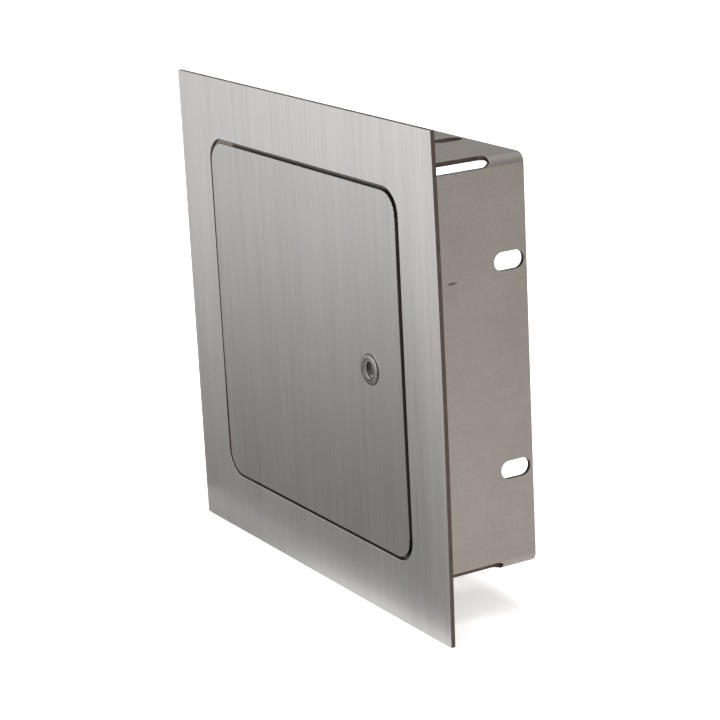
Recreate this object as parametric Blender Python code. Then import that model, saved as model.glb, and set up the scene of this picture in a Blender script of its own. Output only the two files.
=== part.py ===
"""Flush recessed access cabinet for a standpipe valve: a square face plate with a flush door, welded
to a four-sided sheet collar that is open at the back.

X runs right, Y into the wall and Z up. The origin is the middle of the face plate's back, which is the
plane of the finished wall. The door swings out on two concealed gooseneck hinges at its left, and one
quarter-turn latch at its right turns a cam behind a strike angle. The strike and two stop angles line
the back of the opening on three sides, and the closed door rests on pads on the stops.
"""

import math

import bmesh
import bpy
from mathutils import Vector

MM = 0.001
GAP = 0.3 * MM                      # left between two pieces that touch

# Face plate and its opening
FACE_WIDTH = 304.8 * MM
FACE_HEIGHT = 304.8 * MM
FACE_SHEET = 2.8 * MM
OPENING_WIDTH = 228.6 * MM
OPENING_HEIGHT = 227.0 * MM
OPENING_CORNER = 15.9 * MM

# Collar behind the face plate
COLLAR_WIDTH = 251.5 * MM
COLLAR_HEIGHT = 251.5 * MM
COLLAR_LENGTH = 76.6 * MM
COLLAR_SHEET = 2.8 * MM
BEND_RADIUS = 6.35 * MM             # outside of each bend

# Relief slot along each bend
BEND_SLOT_FRONT = 9.0 * MM          # first end, from the wall plane
BEND_SLOT_LENGTH = 44.7 * MM
BEND_SLOT_ON_SIDE = 5.8 * MM        # reach down the side walls from the corner
BEND_SLOT_ON_TOP = 8.4 * MM         # reach along the top and bottom walls from the corner
BEND_SLOT_END = 4.1 * MM            # radius of its ends

# Obround fixing slots, two in each wall, near the back edge
WALL_SLOT_LENGTH = 20.6 * MM
WALL_SLOT_WIDTH = 11.1 * MM
WALL_SLOT_SPACING = 127.0 * MM
WALL_SLOT_EDGE = 2.1 * MM           # metal left behind the slot

# Door
DOOR_SHEET = 1.6 * MM
HINGE_GAP = 1.4 * MM
LATCH_GAP = 4.2 * MM
TOP_GAP = 2.8 * MM
BOTTOM_GAP = 1.3 * MM
DOOR_CORNER_GAP = 1.6 * MM          # the door's corner radius is smaller than the opening's by this

# Gooseneck hinges
HINGE_SPACING = 140.0 * MM
KNUCKLE_RADIUS = 2.1 * MM
KNUCKLE_WALL_GAP = 0.35 * MM        # knuckle to the collar's left wall
KNUCKLE_CLEARANCE = 0.4 * MM        # knuckle to the back of the face plate
PIN_RADIUS = 1.1 * MM
PIN_HEAD_RADIUS = 2.0 * MM
PIN_HEAD_HEIGHT = 1.2 * MM
PIN_TAIL = 2.4 * MM
CLIP_THICKNESS = 0.8 * MM
CLIP_RADIUS = 2.3 * MM
CLIP_MOUTH = math.radians(70)
ARM_HEIGHT = 20.0 * MM
ARM_SHEET = 1.9 * MM
ARM_BACK = 11.0 * MM                # pin axis to the far side of the gooseneck
ARM_PAST_EDGE = 5.7 * MM            # opening's edge to the right side of the gooseneck
ARM_FLANGE = 26.0 * MM
ARM_INNER_BEND = 0.5 * MM
EAR_THICKNESS = 2.0 * MM
EAR_SIDE_CLEARANCE = 0.4 * MM
EAR_TAPER_END = 17.0 * MM
LEAF_SHEET = 1.6 * MM
LEAF_END = 30.0 * MM
LEAF_ARM_CLEARANCE = 0.8 * MM

# Studs that hold the arms to the door
STUD_RADIUS = 2.0 * MM
STUD_FIRST = 9.0 * MM               # from the gooseneck's right side
STUD_SPACING = 11.0 * MM
STUD_TAIL = 1.4 * MM
WASHER_RADIUS = 4.5 * MM
WASHER_THICKNESS = 0.8 * MM
NUT_FLATS = 7.0 * MM
NUT_HEIGHT = 3.2 * MM

# Quarter-turn latch
LATCH_INSET = 34.8 * MM             # latch axis to the door's right edge
LATCH_DROP = 0.8 * MM               # latch axis below the opening's middle
LATCH_HEAD_RADIUS = 9.15 * MM
LATCH_HEAD_HEIGHT = 0.8 * MM
LATCH_HEAD_CHAMFER = 0.4 * MM
BARREL_RADIUS = 7.4 * MM
BARREL_LENGTH = 9.7 * MM            # behind the head
PLUG_FACE_RADIUS = 6.3 * MM
PLUG_FACE_DEPTH = 3.0 * MM
PLUG_FACE_RECESS = 0.2 * MM
PLUG_RADIUS = 5.0 * MM
PLUG_SQUARE = 7.0 * MM
SLOT_LENGTH = 9.4 * MM
SLOT_WIDTH = 3.0 * MM
SLOT_DEPTH = 2.2 * MM
LOCK_WASHER_RADIUS = 10.4 * MM
LOCK_WASHER_THICKNESS = 1.0 * MM
LATCH_NUT_FLATS = 19.0 * MM
LATCH_NUT_HEIGHT = 4.5 * MM
CAM_SHEET = 2.0 * MM
CAM_SHORT = 1.5 * MM                # tip of the closed cam to the opening's edge
CAM_INNER_BEND = 1.0 * MM
CAM_NUT_CLEARANCE = 1.2 * MM        # nut's corners to the start of the cam's step
CAM_STRIKE_CLEARANCE = 0.6 * MM
CAM_HUB_RADIUS = 8.5 * MM
CAM_TIP_HALF_WIDTH = 6.0 * MM
CAM_TIP_CORNER = 3.0 * MM
CAM_WASHER_RADIUS = 6.0 * MM
CAM_WASHER_THICKNESS = 0.8 * MM
SCREW_RADIUS = 1.6 * MM
SCREW_HEAD_RADIUS = 4.2 * MM
SCREW_HEAD_HEIGHT = 2.6 * MM
SCREW_LENGTH = 6.5 * MM
SCREW_SLOT_WIDTH = 1.0 * MM
SCREW_SLOT_DEPTH = 1.2 * MM

# Strike angle behind the opening's right edge, stop angles behind its top and bottom edges, and rubber pads
ANGLE_SHEET = 1.6 * MM
ANGLE_INNER_BEND = 0.8 * MM
ANGLE_DEPTH = 8.2 * MM              # lip's front to the end of the leaf on the wall
STRIKE_OVERLAP = 10.2 * MM          # lip past the opening's edge
STOP_OVERLAP = 10.7 * MM            # lip behind the door's edge
STOP_HINGE_SIDE = 26.0 * MM         # opening's left edge to the stops
STOP_STRIKE_GAP = 0.6 * MM
BUMPER_RADIUS = 3.8 * MM
BUMPER_SPACING = 100.0 * MM
BUMPER_INSET = 5.5 * MM             # pad axis to the lip's free edge

# Smoothness of the round shapes
CORNER_STEPS = 8
BEND_STEPS = 6
SMALL_ROUND = 24
LARGE_ROUND = 40
SMOOTH_ANGLE = math.radians(35)

# Places worked out from the sizes above
FRONT = -FACE_SHEET
DOOR_BACK = FRONT + DOOR_SHEET
DOOR_LEFT = -OPENING_WIDTH / 2 + HINGE_GAP
DOOR_RIGHT = OPENING_WIDTH / 2 - LATCH_GAP
DOOR_TOP = OPENING_HEIGHT / 2 - TOP_GAP
DOOR_BOTTOM = -OPENING_HEIGHT / 2 + BOTTOM_GAP
COLLAR_START = GAP
COLLAR_END = COLLAR_START + COLLAR_LENGTH
INSIDE_X = COLLAR_WIDTH / 2 - COLLAR_SHEET
INSIDE_Z = COLLAR_HEIGHT / 2 - COLLAR_SHEET
HINGE_X = -INSIDE_X + KNUCKLE_WALL_GAP + KNUCKLE_RADIUS
HINGE_AXIS = Vector((HINGE_X, KNUCKLE_CLEARANCE + KNUCKLE_RADIUS, 0))
ARM_REACH = ARM_PAST_EDGE - OPENING_WIDTH / 2 - HINGE_X
PIN_HOLE = PIN_RADIUS + GAP
LATCH_AXIS = Vector((DOOR_RIGHT - LATCH_INSET, 0, -LATCH_DROP))
HEAD_BACK = FRONT - GAP
HEAD_FRONT = HEAD_BACK - LATCH_HEAD_HEIGHT
BARREL_END = HEAD_BACK + BARREL_LENGTH
CAM_FRONT = BARREL_END + 3 * GAP
CAM_BACK = CAM_FRONT + CAM_SHEET
PLUG_END = CAM_BACK + GAP
CAM_REACH = LATCH_INSET + LATCH_GAP - CAM_SHORT
ANGLE_FRONT = GAP
ANGLE_BACK = ANGLE_FRONT + ANGLE_SHEET
CAM_TIP_FRONT = ANGLE_BACK + CAM_STRIKE_CLEARANCE
STRIKE_EDGE = OPENING_WIDTH / 2 - STRIKE_OVERLAP
STOP_LEFT = -OPENING_WIDTH / 2 + STOP_HINGE_SIDE
STOP_RIGHT = STRIKE_EDGE - STOP_STRIKE_GAP
BUMPER_HEIGHT = ANGLE_FRONT - DOOR_BACK - 2 * GAP
ARM_FLANGE_FRONT = DOOR_BACK + GAP
ARM_FLANGE_BACK = ARM_FLANGE_FRONT + ARM_SHEET


def clear_scene():
    for old in list(bpy.data.objects):
        bpy.data.objects.remove(old, do_unlink=True)


def metal(name, colour, roughness, metallic=1.0):
    material = bpy.data.materials.new(name)
    material.use_nodes = True
    shader = material.node_tree.nodes["Principled BSDF"]
    shader.inputs["Base Color"].default_value = (*colour, 1.0)
    shader.inputs["Roughness"].default_value = roughness
    shader.inputs["Metallic"].default_value = metallic
    return material


# Outlines: lists of points that run anticlockwise in a plane

def arc(centre, radius, first, last, steps):
    """Points on an arc, both ends included, angles in radians."""
    points = []
    for step in range(steps + 1):
        angle = first + (last - first) * step / steps
        points.append((centre[0] + radius * math.cos(angle), centre[1] + radius * math.sin(angle)))
    return points


def circle(radius, segments, centre=(0.0, 0.0)):
    return arc(centre, radius, 0.0, 2 * math.pi * (segments - 1) / segments, segments - 1)


def rounded_rectangle(left, right, bottom, top, radius, steps=CORNER_STEPS):
    corners = [(right - radius, top - radius), (left + radius, top - radius),
               (left + radius, bottom + radius), (right - radius, bottom + radius)]
    points = []
    for turn, corner in enumerate(corners):
        start = turn * math.pi / 2
        points += arc(corner, radius, start, start + math.pi / 2, steps)
    return points


def obround(length, width, centre=(0.0, 0.0), steps=CORNER_STEPS):
    """A slot outline that is long in the first direction."""
    reach = length / 2 - width / 2
    right = (centre[0] + reach, centre[1])
    left = (centre[0] - reach, centre[1])
    quarter = math.pi / 2
    return arc(right, width / 2, -quarter, quarter, steps) + arc(left, width / 2, quarter, 3 * quarter, steps)


def hexagon(flats, segments, centre=(0.0, 0.0)):
    """A hexagon with as many points as the hole inside it."""
    points = []
    for step in range(segments):
        angle = 2 * math.pi * step / segments
        off_flat = angle % (math.pi / 3) - math.pi / 6
        radius = flats / 2 / math.cos(off_flat)
        points.append((centre[0] + radius * math.cos(angle), centre[1] + radius * math.sin(angle)))
    return points


def strip(path, thickness, inner, steps=BEND_STEPS):
    """Outline of a bent strip. The path is the strip's left side, and inner the bends' inside radius."""
    left, right = [], []
    for index, here in enumerate(path):
        here = Vector(here)
        before = (here - Vector(path[index - 1])).normalized() if index else None
        after = (Vector(path[index + 1]) - here).normalized() if index < len(path) - 1 else None
        if before is None or after is None:
            run = after or before
            aside = Vector((run.y, -run.x)) * thickness
            left.append(tuple(here))
            right.append(tuple(here + aside))
            continue
        turns_left = before.cross(after) > 0
        outside = inner + thickness
        left_radius, right_radius = (inner, outside) if turns_left else (outside, inner)
        side = 1 if turns_left else -1
        aside = Vector((-before.y, before.x)) * side
        setback = left_radius * abs(math.tan(before.angle(after) / 2))
        centre = here - before * setback + aside * left_radius
        first = math.atan2(-aside.y, -aside.x)
        last = first + side * before.angle(after)
        left += arc(centre, left_radius, first, last, steps)
        right += arc(centre, right_radius, first, last, steps)
    return left + right[::-1]


# Meshes

AXES = {"X": (1, 2, 0), "Y": (2, 0, 1), "Z": (0, 1, 2)}


def point_on(axis, first, second, along):
    """A point from two coordinates across an axis and one along it."""
    point = [0.0, 0.0, 0.0]
    for slot, value in zip(AXES[axis], (first, second, along)):
        point[slot] = value
    return point


def flipped(outline):
    """Swaps the two coordinates, for an outline drawn in X and Z on the Y axis."""
    return [(second, first) for first, second in outline]


def closed_mesh(name, shape, smooth=True):
    """Turns a bmesh into a mesh whose faces point out."""
    bmesh.ops.recalc_face_normals(shape, faces=shape.faces)
    mesh = bpy.data.meshes.new(name)
    shape.to_mesh(mesh)
    shape.free()
    if smooth:
        mesh.shade_smooth()
        mesh.set_sharp_from_angle(angle=SMOOTH_ANGLE)
    return mesh


def extruded(name, outline, axis, start, end):
    shape = bmesh.new()
    near = [shape.verts.new(point_on(axis, a, b, start)) for a, b in outline]
    far = [shape.verts.new(point_on(axis, a, b, end)) for a, b in outline]
    shape.faces.new(near)
    shape.faces.new(far)
    for index in range(len(outline)):
        after = (index + 1) % len(outline)
        shape.faces.new((near[index], near[after], far[after], far[index]))
    return closed_mesh(name, shape)


def tube(name, outer, inner, axis, start, end):
    """An extruded ring between two outlines with the same number of points."""
    shape = bmesh.new()
    loops = []
    for outline, along in ((outer, start), (outer, end), (inner, end), (inner, start)):
        loops.append([shape.verts.new(point_on(axis, a, b, along)) for a, b in outline])
    for number, loop in enumerate(loops):
        following = loops[(number + 1) % len(loops)]
        for index in range(len(loop)):
            after = (index + 1) % len(loop)
            shape.faces.new((loop[index], loop[after], following[after], following[index]))
    return closed_mesh(name, shape)


def turned(name, profile, axis, segments):
    """A turned piece. The profile holds (radius, along); it closes on itself or ends on the axis."""
    shape = bmesh.new()
    rings = []
    for radius, along in profile:
        if radius == 0:
            rings.append([shape.verts.new(point_on(axis, 0.0, 0.0, along))])
        else:
            rings.append([shape.verts.new(point_on(axis, a, b, along)) for a, b in circle(radius, segments)])
    count = len(rings) if profile[0][0] > 0 else len(rings) - 1
    for number in range(count):
        ring = rings[number]
        following = rings[(number + 1) % len(rings)]
        for index in range(segments):
            after = (index + 1) % segments
            corners = [ring[index % len(ring)], ring[after % len(ring)],
                       following[after % len(following)], following[index % len(following)]]
            shape.faces.new(list(dict.fromkeys(corners)))
    return closed_mesh(name, shape)


# Placing pieces

def add_group(name, place, parent=None):
    """An empty on a joint's axis. It keeps its world place for the pieces that it carries."""
    group = bpy.data.objects.new(name, None)
    bpy.context.collection.objects.link(group)
    group["world_place"] = list(place)
    group.parent = parent
    group.location = Vector(place) - (Vector(parent["world_place"]) if parent else Vector())
    return group


def add_piece(mesh, material, group, place=(0, 0, 0)):
    """The piece is named after its mesh. Its place is in the world, where its group stands."""
    piece = bpy.data.objects.new(mesh.name, mesh)
    bpy.context.collection.objects.link(piece)
    mesh.materials.append(material)
    piece.parent = group
    piece.location = Vector(place) - Vector(group["world_place"])
    return piece


def combine(piece, mesh, operation):
    """A Boolean with a hidden shape that shares the piece's own origin."""
    tool = bpy.data.objects.new(mesh.name, mesh)
    bpy.context.collection.objects.link(tool)
    tool.parent = piece
    tool.hide_render = True
    tool.display_type = "WIRE"
    boolean = piece.modifiers.new(mesh.name, "BOOLEAN")
    boolean.operation = operation
    boolean.solver = "EXACT"
    boolean.object = tool


def cut(piece, mesh):
    combine(piece, mesh, "DIFFERENCE")


def box(name, low, high):
    """A block between two corners."""
    outline = [(low[0], low[1]), (high[0], low[1]), (high[0], high[1]), (low[0], high[1])]
    return extruded(name, outline, "Z", low[2], high[2])


# Pieces of the cabinet

def make_face_plate(finish, cabinet):
    half_width, half_height = FACE_WIDTH / 2, FACE_HEIGHT / 2
    plate = add_piece(box("face_plate", (-half_width, FRONT, -half_height), (half_width, 0, half_height)),
                      finish, cabinet)
    opening = rounded_rectangle(-OPENING_WIDTH / 2, OPENING_WIDTH / 2,
                                -OPENING_HEIGHT / 2, OPENING_HEIGHT / 2, OPENING_CORNER)
    cut(plate, extruded("opening_cutter", flipped(opening), "Y", 2 * FRONT, -FRONT))


def make_collar(finish, cabinet):
    half_width, half_height = COLLAR_WIDTH / 2, COLLAR_HEIGHT / 2
    outer = rounded_rectangle(-half_width, half_width, -half_height, half_height, BEND_RADIUS, BEND_STEPS)
    inner_bend = BEND_RADIUS - COLLAR_SHEET
    inner = rounded_rectangle(-INSIDE_X, INSIDE_X, -INSIDE_Z, INSIDE_Z, inner_bend, BEND_STEPS)
    collar = add_piece(tube("box_collar", flipped(outer), flipped(inner), "Y", COLLAR_START, COLLAR_END),
                       finish, cabinet)
    for right in (-1, 1):
        for up in (-1, 1):
            cut_bend_slot(collar, right, up)
    for side in (-1, 1):
        for along in (-WALL_SLOT_SPACING / 2, WALL_SLOT_SPACING / 2):
            cut_wall_slots(collar, side, along)


def cut_bend_slot(collar, right, up):
    """One cutter crosses the side wall and one the top or bottom wall, and they meet in the bend."""
    end = BEND_SLOT_FRONT + BEND_SLOT_LENGTH
    beyond = 2 * COLLAR_SHEET
    deep = BEND_RADIUS - (BEND_RADIUS - COLLAR_SHEET) * math.sqrt(0.5) + GAP
    corner_x, corner_z = right * COLLAR_WIDTH / 2, up * COLLAR_HEIGHT / 2
    side = rounded_rectangle(BEND_SLOT_FRONT, end, -BEND_SLOT_ON_SIDE, BEND_SLOT_END + beyond, BEND_SLOT_END)
    side = [(y, corner_z + up * z) for y, z in side]
    across = sorted((corner_x - right * deep, corner_x + right * beyond))
    cut(collar, extruded("bend_slot_side_cutter", side, "X", *across))
    top = rounded_rectangle(BEND_SLOT_FRONT, end, -BEND_SLOT_ON_TOP, BEND_SLOT_END + beyond, BEND_SLOT_END)
    top = [(corner_x + right * x, y) for y, x in top]
    upright = sorted((corner_z - up * deep, corner_z + up * beyond))
    cut(collar, extruded("bend_slot_top_cutter", top, "Z", *upright))


def cut_wall_slots(collar, side, along):
    """The same slot in a side wall and in the top or bottom wall."""
    middle = COLLAR_END - WALL_SLOT_EDGE - WALL_SLOT_LENGTH / 2
    slot = obround(WALL_SLOT_LENGTH, WALL_SLOT_WIDTH, (middle, along))
    near_x, near_z = side * (INSIDE_X - COLLAR_SHEET), side * (INSIDE_Z - COLLAR_SHEET)
    far_x, far_z = side * COLLAR_WIDTH, side * COLLAR_HEIGHT
    cut(collar, extruded("side_slot_cutter", slot, "X", near_x, far_x))
    cut(collar, extruded("top_slot_cutter", flipped(slot), "Z", near_z, far_z))


def make_hinge_bracket(name, height, finish, cabinet):
    """A U bracket: a leaf on the left wall and two ears that hold the pin, drawn round the pin's axis."""
    inner_half = ARM_HEIGHT / 2 + EAR_SIDE_CLEARANCE
    outer_half = inner_half + EAR_THICKNESS
    wall = -INSIDE_X + GAP - HINGE_AXIS.x
    leaf_face = wall + LEAF_SHEET
    front = -KNUCKLE_RADIUS
    outline = [(leaf_face, LEAF_END), (wall, LEAF_END), (wall, front)]
    outline += arc((0, 0), KNUCKLE_RADIUS, -math.pi / 2, math.pi / 6, BEND_STEPS)
    outline += [(leaf_face, EAR_TAPER_END)]
    bracket = add_piece(extruded(name, outline, "Z", -outer_half, outer_half), finish, cabinet,
                        HINGE_AXIS + Vector((0, 0, height)))
    arm_space = ((2 * wall, 2 * front, -inner_half), (ARM_REACH, ARM_BACK + LEAF_ARM_CLEARANCE, inner_half))
    cut(bracket, box("arm_space_cutter", *arm_space))
    cut(bracket, box("ear_space_cutter", (leaf_face, 0, -inner_half), (ARM_REACH, LEAF_END, inner_half)))
    hole = circle(PIN_HOLE, SMALL_ROUND)
    cut(bracket, extruded("pin_hole_cutter", hole, "Z", -2 * outer_half, 2 * outer_half))


def make_hinge_pin(side, height, finish, cabinet):
    half = ARM_HEIGHT / 2 + EAR_SIDE_CLEARANCE + EAR_THICKNESS
    head, tail = half + GAP, -half - PIN_TAIL
    profile = [(0, tail), (PIN_RADIUS * 0.7, tail), (PIN_RADIUS, tail + PIN_RADIUS * 0.3), (PIN_RADIUS, head),
               (PIN_HEAD_RADIUS, head), (PIN_HEAD_RADIUS, head + PIN_HEAD_HEIGHT * 0.7),
               (PIN_HEAD_RADIUS * 0.7, head + PIN_HEAD_HEIGHT), (0, head + PIN_HEAD_HEIGHT)]
    place = HINGE_AXIS + Vector((0, 0, height))
    add_piece(turned("hinge_pin_" + side, profile, "Z", SMALL_ROUND), finish, cabinet, place)
    first, last = CLIP_MOUTH / 2, 2 * math.pi - CLIP_MOUTH / 2
    ring = arc((0, 0), CLIP_RADIUS, first, last, SMALL_ROUND)
    ring += arc((0, 0), PIN_HOLE, last, first, SMALL_ROUND)
    clip_top = -half - GAP
    add_piece(extruded("hinge_clip_" + side, ring, "Z", clip_top - CLIP_THICKNESS, clip_top),
              finish, cabinet, place)


def make_strike(finish, cabinet):
    """An angle in plan, as tall as the collar's inside: the lip is behind the gap, the leaf on the wall."""
    wall = INSIDE_X - GAP
    half = COLLAR_HEIGHT / 2 - BEND_RADIUS
    path = [(STRIKE_EDGE, ANGLE_BACK), (wall - ANGLE_SHEET, ANGLE_BACK),
            (wall - ANGLE_SHEET, ANGLE_FRONT + ANGLE_DEPTH)]
    outline = strip(path, ANGLE_SHEET, ANGLE_INNER_BEND)
    add_piece(extruded("strike_angle", outline, "Z", -half, half), finish, cabinet)


def make_stops(finish, pad, cabinet):
    """An angle under the top wall and one on the bottom wall, each with two rubber pads for the door."""
    for side, up, door_edge in (("upper", 1, DOOR_TOP), ("lower", -1, -DOOR_BOTTOM)):
        wall = INSIDE_Z - GAP
        free_edge = door_edge - STOP_OVERLAP
        path = [(ANGLE_FRONT, free_edge), (ANGLE_FRONT, wall), (ANGLE_FRONT + ANGLE_DEPTH, wall)]
        outline = [(y, up * z) for y, z in strip(path, ANGLE_SHEET, ANGLE_INNER_BEND)]
        add_piece(extruded("stop_angle_" + side, outline, "X", STOP_LEFT, STOP_RIGHT), finish, cabinet)
        for end, along in (("left", -1), ("right", 1)):
            place_x = (STOP_LEFT + STOP_RIGHT + along * BUMPER_SPACING) / 2
            place = (place_x, DOOR_BACK + GAP, up * (free_edge + BUMPER_INSET))
            make_bumper(f"door_bumper_{side}_{end}", pad, cabinet, place)


def make_bumper(name, pad, cabinet, place):
    face = BUMPER_RADIUS * 0.9
    shoulder = BUMPER_HEIGHT * 0.4
    profile = [(0, 0), (face, 0), (BUMPER_RADIUS, shoulder), (BUMPER_RADIUS, BUMPER_HEIGHT),
               (0, BUMPER_HEIGHT)]
    add_piece(turned(name, profile, "Y", SMALL_ROUND), pad, cabinet, place)


# Pieces of the door

def make_door_panel(finish, door):
    corner = OPENING_CORNER - DOOR_CORNER_GAP
    outline = rounded_rectangle(DOOR_LEFT, DOOR_RIGHT, DOOR_BOTTOM, DOOR_TOP, corner)
    outline = [(x - HINGE_AXIS.x, z) for x, z in outline]
    front, back = FRONT - HINGE_AXIS.y, DOOR_BACK - HINGE_AXIS.y
    panel = add_piece(extruded("door_panel", flipped(outline), "Y", front, back), finish, door, HINGE_AXIS)
    middle = (LATCH_AXIS.z, LATCH_AXIS.x - HINGE_AXIS.x)
    hole = circle(BARREL_RADIUS + GAP, LARGE_ROUND, middle)
    cut(panel, extruded("latch_hole_cutter", hole, "Y", front - DOOR_SHEET, back + DOOR_SHEET))


def make_hinge_arm(side, height, finish, door):
    """The gooseneck goes back from the pin, round the face plate's edge and forward to the door."""
    start = -KNUCKLE_RADIUS
    flange_front = ARM_FLANGE_FRONT - HINGE_AXIS.y
    flange_back = flange_front + ARM_SHEET
    flange_end = ARM_REACH + ARM_FLANGE
    path = [(start, 0), (start, ARM_BACK), (ARM_REACH, ARM_BACK), (ARM_REACH, flange_back),
            (flange_end, flange_back)]
    half = ARM_HEIGHT / 2
    neck = ARM_SHEET - KNUCKLE_RADIUS
    round_from = math.acos(neck / KNUCKLE_RADIUS)
    outline = strip(path, ARM_SHEET, ARM_INNER_BEND)[:-1]
    outline += arc((0, 0), KNUCKLE_RADIUS, round_from, -math.pi, SMALL_ROUND)[:-1]
    arm = add_piece(extruded("hinge_arm_" + side, outline, "Z", -half, half),
                    finish, door, HINGE_AXIS + Vector((0, 0, height)))
    cut(arm, extruded("arm_pin_cutter", circle(PIN_HOLE, SMALL_ROUND), "Z", -ARM_HEIGHT, ARM_HEIGHT))
    for number in range(2):
        along = ARM_REACH + STUD_FIRST + number * STUD_SPACING
        hole = circle(STUD_RADIUS + GAP, SMALL_ROUND, (0, along))
        cut(arm, extruded("stud_hole_cutter", hole, "Y", flange_front - ARM_SHEET, flange_back + ARM_SHEET))
        place = HINGE_AXIS + Vector((along, DOOR_BACK - HINGE_AXIS.y, height))
        make_stud_set(f"{side}_{number + 1}", finish, door, place)


def make_stud_set(label, finish, door, place):
    """A welded stud, its washer and its nut, drawn from the door's back."""
    washer_front = 2 * GAP + ARM_SHEET
    washer_back = washer_front + WASHER_THICKNESS
    nut_front = washer_back + GAP
    nut_back = nut_front + NUT_HEIGHT
    tail = nut_back + STUD_TAIL
    lead = STUD_RADIUS * 0.25
    hole = circle(STUD_RADIUS + GAP, SMALL_ROUND)
    stud = [(0, GAP), (STUD_RADIUS, GAP), (STUD_RADIUS, tail - lead), (STUD_RADIUS - lead, tail), (0, tail)]
    add_piece(turned("weld_stud_" + label, stud, "Y", SMALL_ROUND), finish, door, place)
    washer = tube("arm_washer_" + label, circle(WASHER_RADIUS, SMALL_ROUND), hole, "Y",
                  washer_front + GAP, washer_back + GAP)
    add_piece(washer, finish, door, place)
    nut = tube("arm_nut_" + label, hexagon(NUT_FLATS, SMALL_ROUND), hole, "Y",
               nut_front + GAP, nut_back + GAP)
    add_piece(nut, finish, door, place)


def make_latch_housing(bright, finish, door):
    """The head and threaded barrel, with the lock washer and hex nut that clamp them in the door."""
    bore = PLUG_RADIUS + GAP
    seat = HEAD_FRONT + PLUG_FACE_RECESS + PLUG_FACE_DEPTH + GAP
    mouth = PLUG_FACE_RADIUS + GAP
    rim = LATCH_HEAD_RADIUS - LATCH_HEAD_CHAMFER
    profile = [(mouth, HEAD_FRONT), (rim, HEAD_FRONT), (LATCH_HEAD_RADIUS, HEAD_FRONT + LATCH_HEAD_CHAMFER),
               (LATCH_HEAD_RADIUS, HEAD_BACK), (BARREL_RADIUS, HEAD_BACK), (BARREL_RADIUS, BARREL_END),
               (bore, BARREL_END), (bore, seat), (mouth, seat)]
    add_piece(turned("latch_body", profile, "Y", LARGE_ROUND), bright, door, LATCH_AXIS)
    hole = circle(BARREL_RADIUS + GAP, LARGE_ROUND)
    washer_front = DOOR_BACK + GAP
    washer_back = washer_front + LOCK_WASHER_THICKNESS
    washer = tube("latch_lock_washer", circle(LOCK_WASHER_RADIUS, LARGE_ROUND), hole, "Y",
                  washer_front, washer_back)
    add_piece(washer, finish, door, LATCH_AXIS)
    segments = 2 * SMALL_ROUND
    nut = tube("latch_nut", hexagon(LATCH_NUT_FLATS, segments), circle(BARREL_RADIUS + GAP, segments), "Y",
               washer_back + GAP, washer_back + GAP + LATCH_NUT_HEIGHT)
    add_piece(nut, finish, door, LATCH_AXIS)


# Pieces that turn in the latch, drawn round its axis

def make_latch_plug(bright, latch):
    face = HEAD_FRONT + PLUG_FACE_RECESS
    shoulder = face + PLUG_FACE_DEPTH
    rim = PLUG_FACE_RADIUS - PLUG_FACE_RECESS
    profile = [(0, face), (rim, face), (PLUG_FACE_RADIUS, face + PLUG_FACE_RECESS),
               (PLUG_FACE_RADIUS, shoulder), (PLUG_RADIUS, shoulder), (PLUG_RADIUS, PLUG_END), (0, PLUG_END)]
    plug = add_piece(turned("latch_plug", profile, "Y", LARGE_ROUND), bright, latch, LATCH_AXIS)
    slot = obround(SLOT_LENGTH, SLOT_WIDTH)
    cut(plug, extruded("tool_slot_cutter", slot, "Y", face - SLOT_DEPTH, face + SLOT_DEPTH))
    flat, wide = PLUG_SQUARE / 2, 2 * PLUG_RADIUS
    start, end = CAM_FRONT - GAP, PLUG_END + wide
    for side in (-1, 1):
        near, far = sorted((side * flat, side * wide))
        cut(plug, box("square_cutter_x", (near, start, -wide), (far, end, wide)))
        cut(plug, box("square_cutter_z", (-wide, start, near), (wide, end, far)))
    screw_hole = circle(SCREW_RADIUS + GAP, SMALL_ROUND)
    cut(plug, extruded("screw_hole_cutter", screw_hole, "Y", PLUG_END - SCREW_LENGTH - 2 * GAP, end))


def make_cam(finish, latch):
    """The cam points up while the latch is open. A quarter turn brings its tip behind the strike angle.

    It is stepped: its hub lies behind the latch nut and its tip close behind the strike's lip.
    """
    tip = CAM_REACH - CAM_TIP_CORNER
    half_tip = CAM_TIP_HALF_WIDTH - CAM_TIP_CORNER
    lean = math.asin((CAM_HUB_RADIUS - CAM_TIP_HALF_WIDTH) / tip)
    outline = arc((half_tip, tip), CAM_TIP_CORNER, lean, math.pi / 2, CORNER_STEPS)
    outline += arc((-half_tip, tip), CAM_TIP_CORNER, math.pi / 2, math.pi - lean, CORNER_STEPS)
    outline += arc((0, 0), CAM_HUB_RADIUS, math.pi - lean, 2 * math.pi + lean, 3 * CORNER_STEPS)
    step_start = LATCH_NUT_FLATS / math.sqrt(3) + CAM_NUT_CLEARANCE
    step_end = step_start + CAM_FRONT - CAM_TIP_FRONT
    wide, beyond = 2 * CAM_HUB_RADIUS, 2 * CAM_REACH
    path = [(CAM_FRONT, -wide), (CAM_FRONT, step_start), (CAM_TIP_FRONT, step_end), (CAM_TIP_FRONT, beyond)]
    section = strip(path, CAM_SHEET, CAM_INNER_BEND)
    cam = add_piece(extruded("latch_cam", section, "X", -wide, wide), finish, latch, LATCH_AXIS)
    front, back = CAM_TIP_FRONT - CAM_SHEET, CAM_BACK + CAM_SHEET
    combine(cam, extruded("cam_outline", flipped(outline), "Y", front, back), "INTERSECT")
    flat = PLUG_SQUARE / 2 + GAP
    cut(cam, box("cam_square_cutter", (-flat, front, -flat), (flat, back, flat)))


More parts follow.
